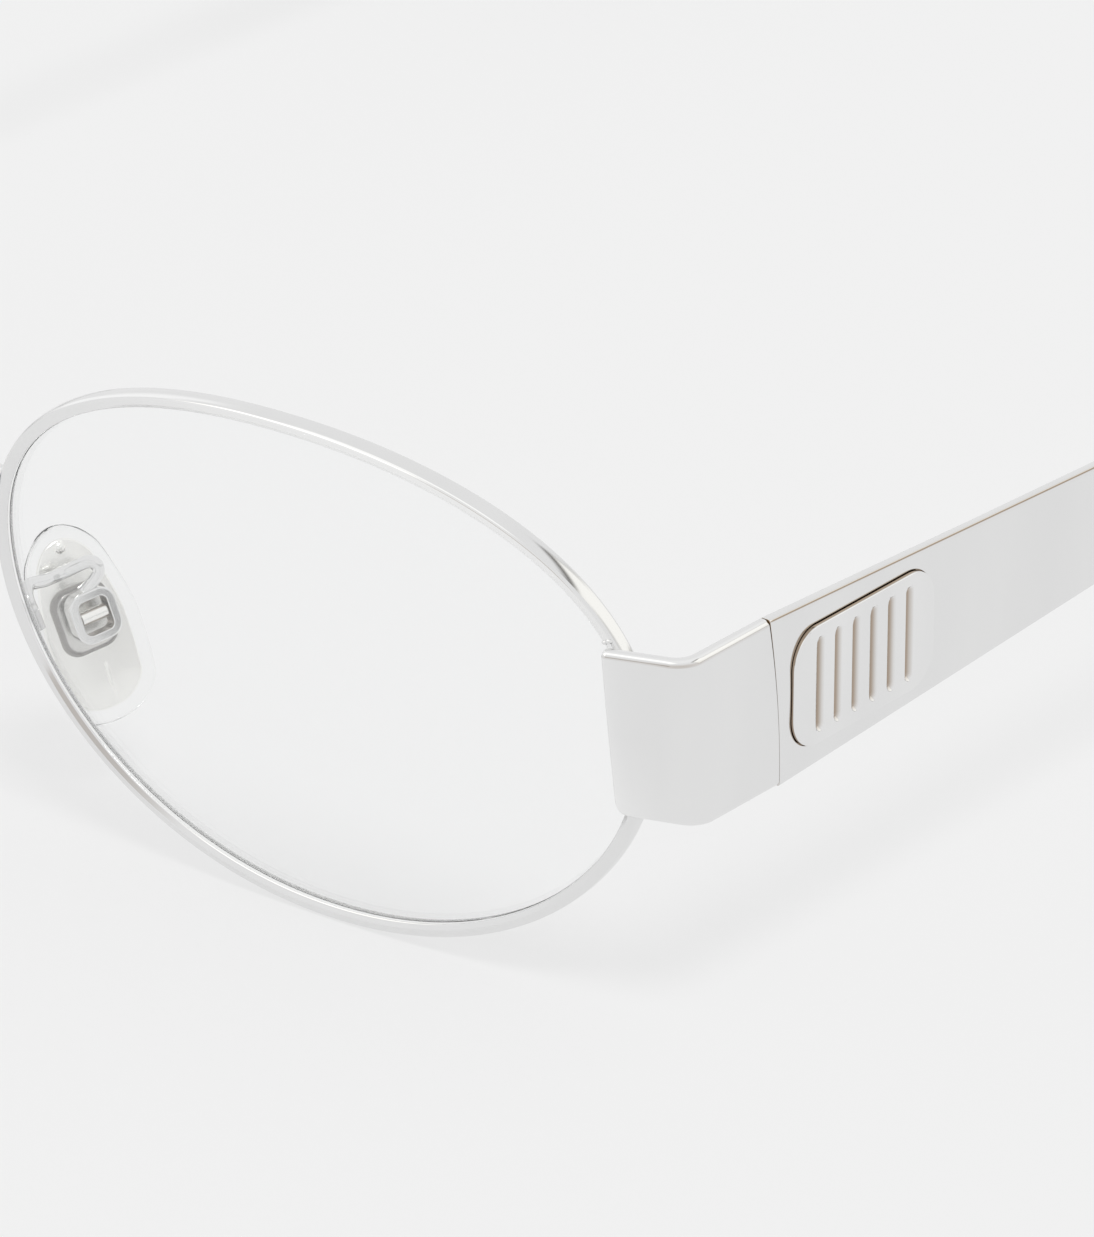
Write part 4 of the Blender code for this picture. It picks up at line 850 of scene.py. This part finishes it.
def inlay_outline(p, q, grow):
    """The inlay's rounded rectangle, grown outwards, at a place (p, q) on the unit square's edge.

    The point (p W/2, q H/2) is pushed out from the nearest corner centre to the corner radius.
    """
    half = np.array([INLAY_LENGTH / 2 + grow, INLAY_HEIGHT / 2 + grow])
    corner = INLAY_CORNER + grow
    point = np.stack([p, q], -1) * half
    core = np.clip(point, corner - half, half - corner)
    away = point - core
    return core + away * corner / np.linalg.norm(away, axis=-1, keepdims=True)


INLAY_AHEAD = TEMPLE_AHEAD * math.cos(TEMPLE_SLOPE) - np.array([0, 0, 1]) * math.sin(TEMPLE_SLOPE)
INLAY_UP = np.cross(TEMPLE_OUT, INLAY_AHEAD)
INLAY_PLACE = temple_line(np.array([INLAY_MIDDLE]))[0][0]
INLAY_TURN = np.stack([INLAY_AHEAD, INLAY_UP, TEMPLE_OUT], -1)


def face_place(point):
    """Length and w of a point of the inlay's plane, by repeated correction of the lean."""
    flat = INLAY_PLACE + point[..., :1] * INLAY_AHEAD + point[..., 1:] * INLAY_UP
    along, height = (flat - SEAM) @ TEMPLE_AHEAD, flat[..., 2] - SEAM[2]
    length, rise = along.copy(), height.copy()
    for _ in range(6):
        face, up = temple_line(length)
        rise = (height - (face[..., 2] - SEAM[2])) / up[..., 2]
        length = length + along - ((face - SEAM) @ TEMPLE_AHEAD + rise * (up @ TEMPLE_AHEAD))
    return length, rise / (blade_height(length) / 2 - BLADE_ARRIS)


def recessed_face():
    """The blade's side round the inlay: rings from the side's edge in to the recess.

    Each ring is a mix of the edge's and the recess outline's places in length and w. The
    last rings turn over the recess's edge, down its wall and on to its floor.
    """
    w = np.linspace(-1, 1, FACE_POINTS)[1:-1]
    edge_length = np.concatenate(
        [ZONE, np.full(len(w), ZONE_END), ZONE[::-1], np.full(len(w), ZONE_START)]
    )
    edge_w = np.concatenate([np.full(len(ZONE), -1.0), w, np.full(len(ZONE), 1.0), w[::-1]])
    p, q = (edge_length - INLAY_MIDDLE) / ((ZONE_END - ZONE_START) / 2), edge_w
    inner_length, inner_w = face_place(inlay_outline(p, q, INLAY_CLEARANCE + RECESS_EASE))
    share = (1 - (1 - np.linspace(0, 1, 9)) ** 1.6)[:, None]
    rings = [on_face(edge_length + (inner_length - edge_length) * share,
                     edge_w + (inner_w - edge_w) * share)]
    for angle in np.linspace(0, np.pi / 2, 5)[1:]:
        grow = INLAY_CLEARANCE + RECESS_EASE * (1 - math.sin(angle))
        place = face_place(inlay_outline(p, q, grow))
        rings.append(on_face(*place, RECESS_EASE * (1 - math.cos(angle)))[None])
    wall = inlay_outline(p, q, INLAY_CLEARANCE)
    floor = np.column_stack([wall, np.full(len(wall), -INLAY_RECESS)])
    rings.append(put(floor, INLAY_TURN, INLAY_PLACE)[None])
    points = np.concatenate(rings)
    painted_light_and_matt_edge = np.zeros(points.shape[:2])
    # Painted shade on the recess's eased edge, wall and floor.
    painted_light_and_matt_edge[len(share) + 1:] = RECESS_PAINTED_SHADE
    return *grid_shell(points, caps=True), painted_light_and_matt_edge.ravel()


def blade_ring(length, inset=0.0):
    face, up = temple_line(length)
    thickness = STRAP_THICKNESS + (
        (BLADE_END_THICKNESS - STRAP_THICKNESS) * np.minimum(length / BLADE_THINNING, 1.0)
    )
    section = sheet_section(
        blade_height(length), thickness, blade_crown(length), BLADE_ARRIS, inset, 0, FACE_POINTS
    )
    return across_path(face, TEMPLE_OUT, up, section)


def blade_shell():
    """The blade's side round the inlay, its eased seam end, its edges with its inner face,
    the rest of its side, and its rear end."""
    ease = SEAM_ARRIS * (1 - np.cos(np.linspace(0, np.pi / 2, 5)))
    seam_end = blade_ring(BLADE_START + ease, drawn_in(SEAM_ARRIS, ease))
    level = (seam_end[..., 2] - seam_end[..., 2].min()) / np.ptp(seam_end[..., 2])
    # Painted shade on the seam end, darker towards its top.
    seam_shade = BLADE_SEAM_SHADE + BLADE_SEAM_TOP_SHADE * level**4
    seam_shade[-2:] = 0.0
    rear = np.linspace(ZONE_END, BLADE_END - 0.3, 90)
    whole = blade_ring(np.concatenate([ZONE, rear[1:]]))
    edges = np.concatenate([whole[:, FACE_POINTS - 1:], whole[:, :1]], 1)
    # Painted reflection: a dark line along the top edge's rounding.
    arris_reflection = np.zeros(edges.shape[:2])
    turn = np.linspace(0, 90, 9)
    arris_reflection[:, :9] = ARRIS_DARK_REFLECTION * bell(turn, ARRIS_REFLECTION_ANGLE, ARRIS_REFLECTION_SPREAD)
    face = blade_ring(rear)[:, :FACE_POINTS]
    last = blade_ring(BLADE_END - np.array([0.3, 0.1, 0.0]), np.array([0.0, 0.10, 0.35]))
    recess_points, recess_faces, recess_shade = recessed_face()
    seam_points, seam_faces = grid_shell(seam_end, caps=True)
    last_points, last_faces = grid_shell(last, caps=True)
    return joined(
        (recess_points, recess_faces[:-2] + recess_faces[-1:], recess_shade),
        (seam_points, seam_faces[:-1], seam_shade.ravel()),
        (*grid_shell(edges, ring=False), arris_reflection.ravel()),
        grid_shell(face, ring=False),
        (last_points, last_faces[:-2] + last_faces[-1:]),
    )


def core_shell():
    """The flat core with rounded edges, from inside the blade's end to near the tip's end."""
    length = np.linspace(BLADE_END - 1.0, TEMPLE_LENGTH - CORE_SETBACK, 90)
    face, up = temple_line(length)
    w, h = CORE_THICKNESS / 2, CORE_HEIGHT / 2
    outline = rounded([(w, -h), (w, h), (-w, h), (-w, -h)], 0.2, 5)
    middle = face - TEMPLE_OUT * BLADE_END_THICKNESS / 2
    return grid_shell(across_path(middle, TEMPLE_OUT, up, outline[None]), caps=True)


pair(
    "temple_blade", joined(blade_shell(), core_shell()), plated_metal,
    "{}_temple", "temple", sharp=50,
)


# ---------------------------------------------------------------------------
# Inlays. A plain plate with eased edges stands a little proud of its recess, with
# six upright flutes milled in it, and painted shade in the flutes, darker where they are deeper.
FLUTES, FLUTE_WIDTH, FLUTE_DEPTH, FLUTE_BORDER = 6, 0.84, 0.30, 0.9
INLAY_EASE = 0.10

inlay_metal = plated(
    "fluted_inlay_metal", clean=0.07, smears=0.06, hairlines=0.06,
    brighter=(0.86, 0.86, 0.857), darker=(0.81, 0.81, 0.81),
)


def flute_height(x, y):
    """How deep the flutes lie at a place of the plate: rounded channels with round ends."""
    pitch = (INLAY_LENGTH - 2 * FLUTE_BORDER) / (FLUTES + 1)
    nearest = np.clip(np.round(x / pitch - 0.5) + 0.5, -(FLUTES - 1) / 2, (FLUTES - 1) / 2) * pitch
    reach = INLAY_HEIGHT / 2 - FLUTE_BORDER - FLUTE_WIDTH / 2
    distance = np.hypot(x - nearest, np.maximum(np.abs(y) - reach, 0)) / (FLUTE_WIDTH / 2)
    return -FLUTE_DEPTH * np.sqrt(np.clip(1 - distance**2, 0, 1))


def inlay_shell():
    """The fluted top as a grid over the plate, and its eased edge and wall as rings.

    The outer columns draw together so that each row ends on the rounded outline.
    """
    corner = INLAY_CORNER - INLAY_EASE
    flat, bow = INLAY_LENGTH / 2 - INLAY_CORNER, INLAY_HEIGHT / 2 - INLAY_CORNER
    curve = bow + corner * np.sin(np.linspace(0, np.pi / 2, 19))[1:]
    y = np.concatenate([-curve[::-1], np.linspace(-bow, bow, 15), curve])
    width = flat + np.sqrt(np.maximum(corner**2 - np.maximum(np.abs(y) - bow, 0) ** 2, 0))
    outer = np.linspace(0, 1, 13)[1:]
    left = -flat - outer[::-1] * (width[:, None] - flat)
    inner = np.broadcast_to(np.linspace(-flat, flat, 181), (len(y), 181))
    x = np.hstack([left, inner, -left[:, ::-1]])
    y = np.broadcast_to(y[:, None], x.shape)
    top = np.stack([x, y, INLAY_PROUD + flute_height(x, y)], -1)
    border = np.concatenate([top[0, :], top[1:, -1], top[-1, -2::-1], top[-2:0:-1, 0]])
    keep = np.linalg.norm(np.diff(border[:, :2], axis=0), axis=1) > 1e-6
    border = border[np.concatenate([[True], keep])]
    core = np.clip(border[:, :2], (-flat, -bow), (flat, bow))
    away = border[:, :2] - core
    away /= np.maximum(np.linalg.norm(away, axis=1, keepdims=True), 1e-9)
    rings = []
    for angle in np.linspace(0, np.pi / 2, 6):
        ring = border[:, :2] + away * INLAY_EASE * math.sin(angle)
        rings.append(np.column_stack([ring, border[:, 2] - INLAY_EASE * (1 - math.cos(angle))]))
    rings.append(np.column_stack([rings[-1][:, :2], np.full(len(border), SEAT - INLAY_RECESS)]))
    wall_points, wall_faces = grid_shell(np.array(rings), caps=True)
    # Painted shade in the flutes, growing with their depth, and on the foot of the wall inside the
    # recess.
    low = np.clip(-flute_height(x, y) / FLUTE_DEPTH, 0, 1)
    wall_shade = np.zeros((len(rings), len(border)))
    wall_shade[-2:] = RECESS_PAINTED_SHADE
    both = joined(
        (*grid_shell(top, ring=False), (RECESS_PAINTED_SHADE * low**2).ravel()),
        (wall_points, wall_faces[:-2] + wall_faces[-1:], wall_shade.ravel()),
    )
    return moved(both, INLAY_TURN, INLAY_PLACE)


pair(
    "fluted_inlay", inlay_shell(), inlay_metal,
    "{}_temple", "temple_inlay", sharp=55,
)


# ---------------------------------------------------------------------------
# Ear tips. Sleeves of clear smoke acetate pushed over the cores, swelling a little
# towards their rounded ends and polished all over.
TIP_START_HEIGHT, TIP_START_THICKNESS, TIP_END_THICKNESS = 5.4, 2.3, 2.9
TIP_EASE, TIP_POWER = 0.25, 0.7

tip_acetate = finish_of(
    "clear_smoke_acetate", clean=0.02, smears=0.03, hairlines=0.03, depth=1e-7,
    Base_Color=(0.60, 0.61, 0.63, 1), Transmission_Weight=1.0, IOR=1.48,
)


def tip_shell():
    """Sections x = a cos(t)^p, z = b sin(t)^p along the temple, closed by a round end that
    shrinks with cos(u) as it runs on with sin(u)."""
    start, end_round = BLADE_END + SEAM_GAP, TIP_END_HEIGHT / 2
    full = TEMPLE_LENGTH - end_round
    close = np.linspace(0, np.pi / 2, 16)[1:]
    ease = TIP_EASE * (1 - np.cos(np.linspace(0, np.pi / 2, 6)))
    length = np.concatenate([
        start + ease, np.linspace(start + TIP_EASE, full, 80)[1:], full + end_round * np.sin(close)
    ])
    share = np.clip((length - start) / (full - start), 0, 1)
    shrink = np.concatenate([np.ones(len(length) - len(close)), np.maximum(np.cos(close), 0.02)])
    draw = drawn_in(TIP_EASE, length - start)
    angle = full_turn(64)[None]
    section = np.stack([
        ((first + (last - first) * share) * shrink / 2 - draw)[:, None]
        * signed_power(wave(angle), TIP_POWER)
        for first, last, wave in (
            (TIP_START_THICKNESS, TIP_END_THICKNESS, np.cos),
            (TIP_START_HEIGHT, TIP_END_HEIGHT, np.sin),
        )
    ], -1)
    face, up = temple_line(length)
    middle = face - TEMPLE_OUT * BLADE_END_THICKNESS / 2
    return grid_shell(across_path(middle, TEMPLE_OUT, up, section), caps=True)


pair("ear_tip", tip_shell(), tip_acetate, "{}_temple", "temple_tip")


# ---------------------------------------------------------------------------
# Nose pads. Clear silicone moulded round a thin metal plate, whose lug hangs on a
# bar in the box of the pad arm, so that the pad rocks on the nose. The box is a short
# square tube with rounded edges, brazed to the arm's end.
PAD_LENGTH, PAD_WIDTH, PAD_THICKNESS = 14.2, 7.8, 2.5
PAD_LEVEL, PAD_NOSEWARD, PAD_BEHIND, PAD_DROP = -6.45, 1.89, 6.64, 0.85
PAD_SPLAY, PAD_LEAN, PAD_BACK_LEAN = (math.radians(a) for a in (22.0, 21.0, 3.5))
PAD_TAPER, PAD_TOP_TAPER, PAD_TOP_POWER, PAD_SIDE_POWER = 0.06, 0.28, 1.3, 0.9
PAD_STRAIGHTNESS, FACE_INSET, BACK_INSET = 2.2, 2.2, 1.8
INSERT_MARGIN, INSERT_THICKNESS, INSERT_ROUND = 1.05, 0.35, 0.12
BOX_WIDTH, BOX_HEIGHT, BOX_WALL, BOX_DEPTH = 3.3, 3.6, 0.60, 1.35
BOX_CORNER, BOX_OUTER_ROUND, BOX_INNER_ROUND, BOX_STANDOFF = 1.05, 0.12, 0.07, 0.45
# Painted shade on the box's inner wall.
BOX_PAINTED_SHADE = 0.4
LUG_REACH = PAD_THICKNESS / 2 + BOX_STANDOFF + BOX_DEPTH / 2
POST_WIDTH, POST_HEIGHT, POST_ROUND, BAR_RADIUS = 1.0, 0.64, 0.15, 0.50
# The nib and the rib on the plate: place and half sizes out, across and up.
PLATE_MARKS = (((0.14, 0, 4.70), (0.26, 0.42, 0.42)), ((0.14, 0.40, -5.0), (0.16, 0.20, 1.35)))
# The boss round the post: growth past the box, level and painted shade of each ring.
BOSS_RINGS = ((0.62, 0.10, 0.5), (0.56, 0.36, 1.0), (0.34, 0.62, 1.0), (0.20, 0.66, 0.4))
BOSS_CORNER, BOSS_NARROWER, BOSS_ACROSS = 0.9, 0.15, 0.45
SQUARE = np.array([(-1, -1), (1, -1), (1, 1), (-1, 1)])

pad_edge = nose_side(PAD_LEVEL, 0, RIM_DEPTH) - EYE_CENTRE
PAD_PLACE = EYE_CENTRE + (pad_edge[0] - PAD_NOSEWARD, pad_edge[1] + PAD_BEHIND, PAD_LEVEL)
pad_face = np.array([math.cos(PAD_SPLAY), -math.sin(PAD_SPLAY), 0])
pad_up = unit(np.array([-math.tan(PAD_LEAN), -math.tan(PAD_BACK_LEAN), 1]))
pad_across = unit(np.cross(pad_up, pad_face))
PAD_TURN = np.stack([np.cross(pad_across, pad_up), pad_across, pad_up], -1)

pad_silicone = finish_of(
    "clear_silicone", clean=0.04, smears=0.05, hairlines=0.0, depth=1e-7,
    Base_Color=(0.985, 0.987, 0.985, 1), Transmission_Weight=1.0, IOR=1.2,
)
insert_metal = plated(
    "satin_insert_metal", clean=0.22, smears=0.04, hairlines=0.04,
    brighter=(1.0, 0.995, 0.97), darker=(0.985, 0.98, 0.955), painted_shade_colour=(0.30, 0.29, 0.28),
)


def in_pad(points):
    """Points out, across and up in the left pad's turned frame, in the row frame in mm."""
    return put(points, PAD_TURN, PAD_PLACE)


def pad_rings(level, margin):
    """Outlines of the pad, each at a level through its thickness and drawn in by a margin."""
    angle = full_turn(96)[None]
    length, width = (PAD_LENGTH - 2 * margin)[:, None], (PAD_WIDTH - 2 * margin)[:, None]
    straight = (length - width) / 2 * np.clip(PAD_STRAIGHTNESS * np.sin(angle), -1, 1)
    rise = width / 2 * np.sin(angle) + straight
    up = rise / (length / 2)
    across = width / 2 * signed_power(np.cos(angle), PAD_SIDE_POWER)
    across = across * (1 - PAD_TAPER * up - PAD_TOP_TAPER * np.maximum(up, 0) ** PAD_TOP_POWER)
    level = np.broadcast_to(level[:, None], rise.shape)
    return in_pad(np.stack([level, across, rise - PAD_DROP], -1))


def pad_shell():
    """The silicone: level = t/2 sin(a) and margin = m (1 - cos(a)), then flat to the middle."""
    half, limit = PAD_THICKNESS / 2, PAD_WIDTH / 2 - 0.15
    angle = np.linspace(-np.pi / 2, np.pi / 2, 33)
    draw = np.where(angle < 0, FACE_INSET, BACK_INSET) * (1 - np.cos(angle))
    fill = np.linspace(0.12, 1, 6)
    level = np.concatenate([np.full(6, -half), half * np.sin(angle), np.full(6, half)])
    face, back = (start + (limit - start) * fill for start in (FACE_INSET, BACK_INSET))
    return grid_shell(pad_rings(level, np.concatenate([face[::-1], draw, back])), caps=True)


def insert_shell():
    """The plate as rings with rounded edges, its nib, rib and boss, and the lug: a post and
    the bar across it."""
    half, turn = INSERT_THICKNESS / 2, np.linspace(0, np.pi / 2, 5)
    low = INSERT_ROUND * (1 - np.cos(turn)) - half
    draw = INSERT_ROUND * (1 - np.sin(turn))
    level = np.concatenate([[-half], low, -low[::-1], [half]])
    margin = INSERT_MARGIN + np.concatenate([[2.0], draw, draw[::-1], [2.0]])
    post = soft_block((LUG_REACH, POST_WIDTH, POST_HEIGHT), POST_ROUND, (LUG_REACH / 2, 0, 0))
    ends = np.zeros((9, 3)) + (LUG_REACH, 0, 0)
    ends[:, 1] = np.linspace(-1, 1, 9) * (BOX_WIDTH / 2 - BOX_WALL - PLAY)
    rings, shade = [], []
    # The boss's rings carry painted shade round the box.
    for grow, out, dark in BOSS_RINGS:
        size = np.array([BOX_WIDTH / 2 + grow - BOSS_NARROWER, BOX_HEIGHT / 2 + grow])
        outline = rounded(SQUARE * size, BOSS_CORNER + grow / 2, 8) - (0, BOSS_ACROSS)
        rings.append(np.column_stack([np.full(len(outline), out), outline]))
        shade.append(np.full(len(outline), dark))
    return joined(
        grid_shell(pad_rings(level, margin), caps=True),
        moved(post, PAD_TURN, PAD_PLACE),
        tube(in_pad(ends), BAR_RADIUS, 32),
        *(drop(in_pad(place), size, PAD_TURN) for place, size in PLATE_MARKS),
        (*grid_shell(in_pad(np.array(rings)), caps=True), np.concatenate(shade)),
    )


def box_shell():
    """The wall's rounded section carried round the box's rounded outline."""
    depth = BOX_DEPTH / 2
    wall = rounded(
        [(0, -depth), (0, depth), (BOX_WALL, depth), (BOX_WALL, -depth)],
        (BOX_OUTER_ROUND,) * 2 + (BOX_INNER_ROUND,) * 2, 5,
    )
    rings = []
    for inset, out in wall:
        size = np.array([BOX_WIDTH / 2 - inset, BOX_HEIGHT / 2 - inset])
        outline = rounded(SQUARE * size, max(BOX_CORNER - inset, BOX_OUTER_ROUND), 9)
        rings.append(np.column_stack([np.full(len(outline), LUG_REACH + out), outline]))
    # Painted shade on the inner wall of the box.
    painted_light_and_matt_edge = np.repeat(BOX_PAINTED_SHADE * (wall[:, 0] > BOX_WALL - 0.02), len(rings[0]))
    return *grid_shell(in_pad(np.array(rings)), loop=True), painted_light_and_matt_edge


pair("nose_pad", pad_shell(), pad_silicone, "{}_pad", "pad")
pair("pad_plate", insert_shell(), insert_metal, "{}_pad", "pad_insert")
pair("arm_box", box_shell(), plated_metal, "front", "pad_box")


# ---------------------------------------------------------------------------
# Pad arms. Thin wires brazed up the back of the eyewire, bent back and over, and
# down to the box that carries the pad.
ARM_DIAMETER, ARM_FOOT_TOP, ARM_FOOT_HEIGHT = 0.90, -3.6, 2.2
ARM_STEP_NOSEWARD, ARM_STEP_BACK, ARM_LOOP_WIDTH, ARM_LOOP_RISE = 0.8, 2.7, 1.1, 1.75
ARM_FLARE, ARM_FLARE_REACH = 0.16, 0.25


def arm_shell():
    """A spline through the arm's bends, its end sunk in the box's top.

    The bends are fractions of the step away from the eyewire, and of the loop's width
    and rise over the box.
    """
    depth = RIM_DEPTH + SEAT + ARM_DIAMETER / 2
    foot = nose_side(ARM_FOOT_TOP - ARM_FOOT_HEIGHT, RIM_FACE / 2, depth)
    knee = nose_side(ARM_FOOT_TOP, RIM_FACE / 2, depth)
    box_top = in_pad((LUG_REACH, 0, BOX_HEIGHT / 2 + SEAT))
    step = np.array([-ARM_STEP_NOSEWARD, ARM_STEP_BACK, 0])
    wide, rise = ARM_LOOP_WIDTH, ARM_LOOP_RISE
    path = spline([
        foot, foot + 0.55 * (knee - foot), knee,
        knee + (0.94 * step[0], 0.37 * step[1], 0.20 * rise),
        knee + step + (0, 0, 0.06 * rise),
        box_top + (-wide, -0.9 * wide, 0.66 * rise),
        box_top + (-0.09 * wide, -0.09 * wide, rise) + 0.6 * pad_across,
        box_top + (0.23 * wide, 0.09 * wide, 0.54 * rise) + 0.8 * pad_across,
        box_top - 0.25 * pad_up,
    ], 12)
    walked = walked_along(path)
    flare = ARM_FLARE * np.exp(-((walked[-1] - walked) / ARM_FLARE_REACH))
    return tube(path, ARM_DIAMETER / 2 + flare, 24)


pair("arm_wire", arm_shell(), plated_metal, "front", "pad_arm")


# ---------------------------------------------------------------------------
# The studio: a pale floor without end, an even sky and one soft sun, and the
# camera at the photograph's place.
BACKGROUND, FLOOR_GLOW, FLOOR_REACH = 0.8796, 0.78, 30
SUN_SHARE = 0.30
SUN_HEIGHT, SUN_TURN, SUN_WIDTH = (math.radians(a) for a in (62, 55, 18))
CAMERA_AWAY = (0.530543, -0.614090, 0.389536)
CAMERA_DOWN, CAMERA_TURN, CAMERA_LENS = math.radians(25.3647), math.radians(39.6008), 395.60
PALE = (BACKGROUND, BACKGROUND, BACKGROUND, 1)


def background_rays(tree):
    """Light Path's outputs, and 1 for the rays that see the plain background: those from
    the camera, and those mirrored by or let through a piece."""
    ray = tree.nodes.new("ShaderNodeLightPath").outputs
    seen = maths(tree, "MAXIMUM", ray["Is Camera Ray"], ray["Is Glossy Ray"])
    return ray, maths(tree, "MAXIMUM", seen, ray["Is Transmission Ray"])


floor_paint = bpy.data.materials.new("pale_floor")
floor_paint.use_nodes = True
tree = floor_paint.node_tree
shader = tree.nodes["Principled BSDF"]
for label, value in (("Base Color", PALE), ("Roughness", 1.0), ("Specular IOR Level", 0.0)):
    shader.inputs[label].default_value = value
glow = add_node(tree, "Emission", {"Color": PALE})
share = maths(tree, "MULTIPLY", background_rays(tree)[1], FLOOR_GLOW)
paint = add_node(tree, "MixShader", {0: share, 1: shader.outputs[0], 2: glow.outputs[0]})
tree.links.new(paint.outputs[0], tree.nodes["Material Output"].inputs["Surface"])
floor_mesh = bpy.data.meshes.new("floor")
corners = [(x * FLOOR_REACH, y * FLOOR_REACH, 0) for x, y in SQUARE.tolist()]
floor_mesh.from_pydata(corners, [], [(0, 1, 2, 3)])
floor_mesh.materials.append(floor_paint)
floor = bpy.data.objects.new("floor", floor_mesh)
bpy.context.scene.collection.objects.link(floor)

sun_data = bpy.data.lights.new("soft_sun", "SUN")
sun_data.energy = SUN_SHARE * math.pi / math.sin(SUN_HEIGHT)
sun_data.angle = SUN_WIDTH
sun = bpy.data.objects.new("soft_sun", sun_data)
bpy.context.scene.collection.objects.link(sun)
sun.rotation_euler = (math.pi / 2 - SUN_HEIGHT, 0, SUN_TURN)
sun.visible_glossy = False

world = bpy.data.worlds.new("even_sky")
bpy.context.scene.world = world
world.use_nodes = True
tree = world.node_tree
tree.nodes.clear()
ray, seen = background_rays(tree)
direction = tree.nodes.new("ShaderNodeTexCoord").outputs["Generated"]


def soft_panel(below, towards, width, height, colour, edge):
    """A flat panel laid over what is below it, where the mirrored ray meets it.

    With u and v the panel's axes, a ray d meets it at d.u / d.c and d.v / d.c, and both
    have to be under half its width and height.
    """
    centre = unit(np.array(towards))
    u = unit(np.cross((0, 0, 1), centre))
    ahead, side, rise = (
        add_node(tree, "VectorMath", {0: direction, 1: axis}, operation="DOT_PRODUCT")
        for axis in (centre, u, np.cross(centre, u))
    )
    ahead = maths(tree, "MAXIMUM", ahead.outputs["Value"], 1e-3)

    def within(along, half):
        share = maths(tree, "DIVIDE", along.outputs["Value"], ahead)
        return ramp(tree, maths(tree, "ABSOLUTE", share), half + edge, half)

    inside = maths(tree, "MULTIPLY", within(side, width / 2), within(rise, height / 2))
    return mixed(tree, inside, below, (*colour, 1))


# What the metal mirrors: each panel's direction, width, height, colour and soft edge.
mirrored = (BACKGROUND + 0.02,) * 3 + (1,)
for panel in (
    ((0.10, -0.96, 0.10), 0.50, 0.22, (0.60, 0.57, 0.54), 0.08),
    ((-0.10, -0.35, 0.85), 0.9, 0.34, (1.20, 1.20, 1.18), 0.14),
    ((-0.45, -0.65, 0.60), 0.66, 0.32, (1.45, 1.43, 1.38), 0.12),
    ((0.57, 0.67, 0.46), 0.56, 0.74, (0.10, 0.09, 0.08), 0.12),
    ((0.57, 0.67, 0.43), 0.56, 0.62, (1.14, 1.13, 1.09), 0.10),
    ((-0.90, 0.10, 0.35), 0.7, 0.5, (1.10, 1.10, 1.10), 0.12),
):
    mirrored = soft_panel(mirrored, *panel)
sky, plain, panels = (
    add_node(tree, "Background", {"Color": colour, "Strength": strength}).outputs[0]
    for colour, strength in (((1, 1, 1, 1), 1.0 - SUN_SHARE), (PALE, 1.0), (mirrored, 1.0))
)
direct = maths(tree, "LESS_THAN", ray["Transmission Depth"], 0.5)
direct = maths(tree, "MULTIPLY", ray["Is Glossy Ray"], direct)
light = add_node(tree, "MixShader", {0: seen, 1: sky, 2: plain}).outputs[0]
light = add_node(tree, "MixShader", {0: direct, 1: light, 2: panels}).outputs[0]
add_node(tree, "OutputWorld", {"Surface": light})

camera_data = bpy.data.cameras.new("camera")
camera_data.lens = CAMERA_LENS
camera_data.sensor_width = 36.0
camera_data.clip_start, camera_data.clip_end = 0.05, 60.0
camera = bpy.data.objects.new("camera", camera_data)
bpy.context.scene.collection.objects.link(camera)
bpy.context.scene.camera = camera
camera.location = EYE_CENTRE * MM + np.array(CAMERA_AWAY)
camera.rotation_euler = (math.pi / 2 - CAMERA_DOWN, 0, CAMERA_TURN)
bpy.context.scene.view_settings.view_transform = "Standard"
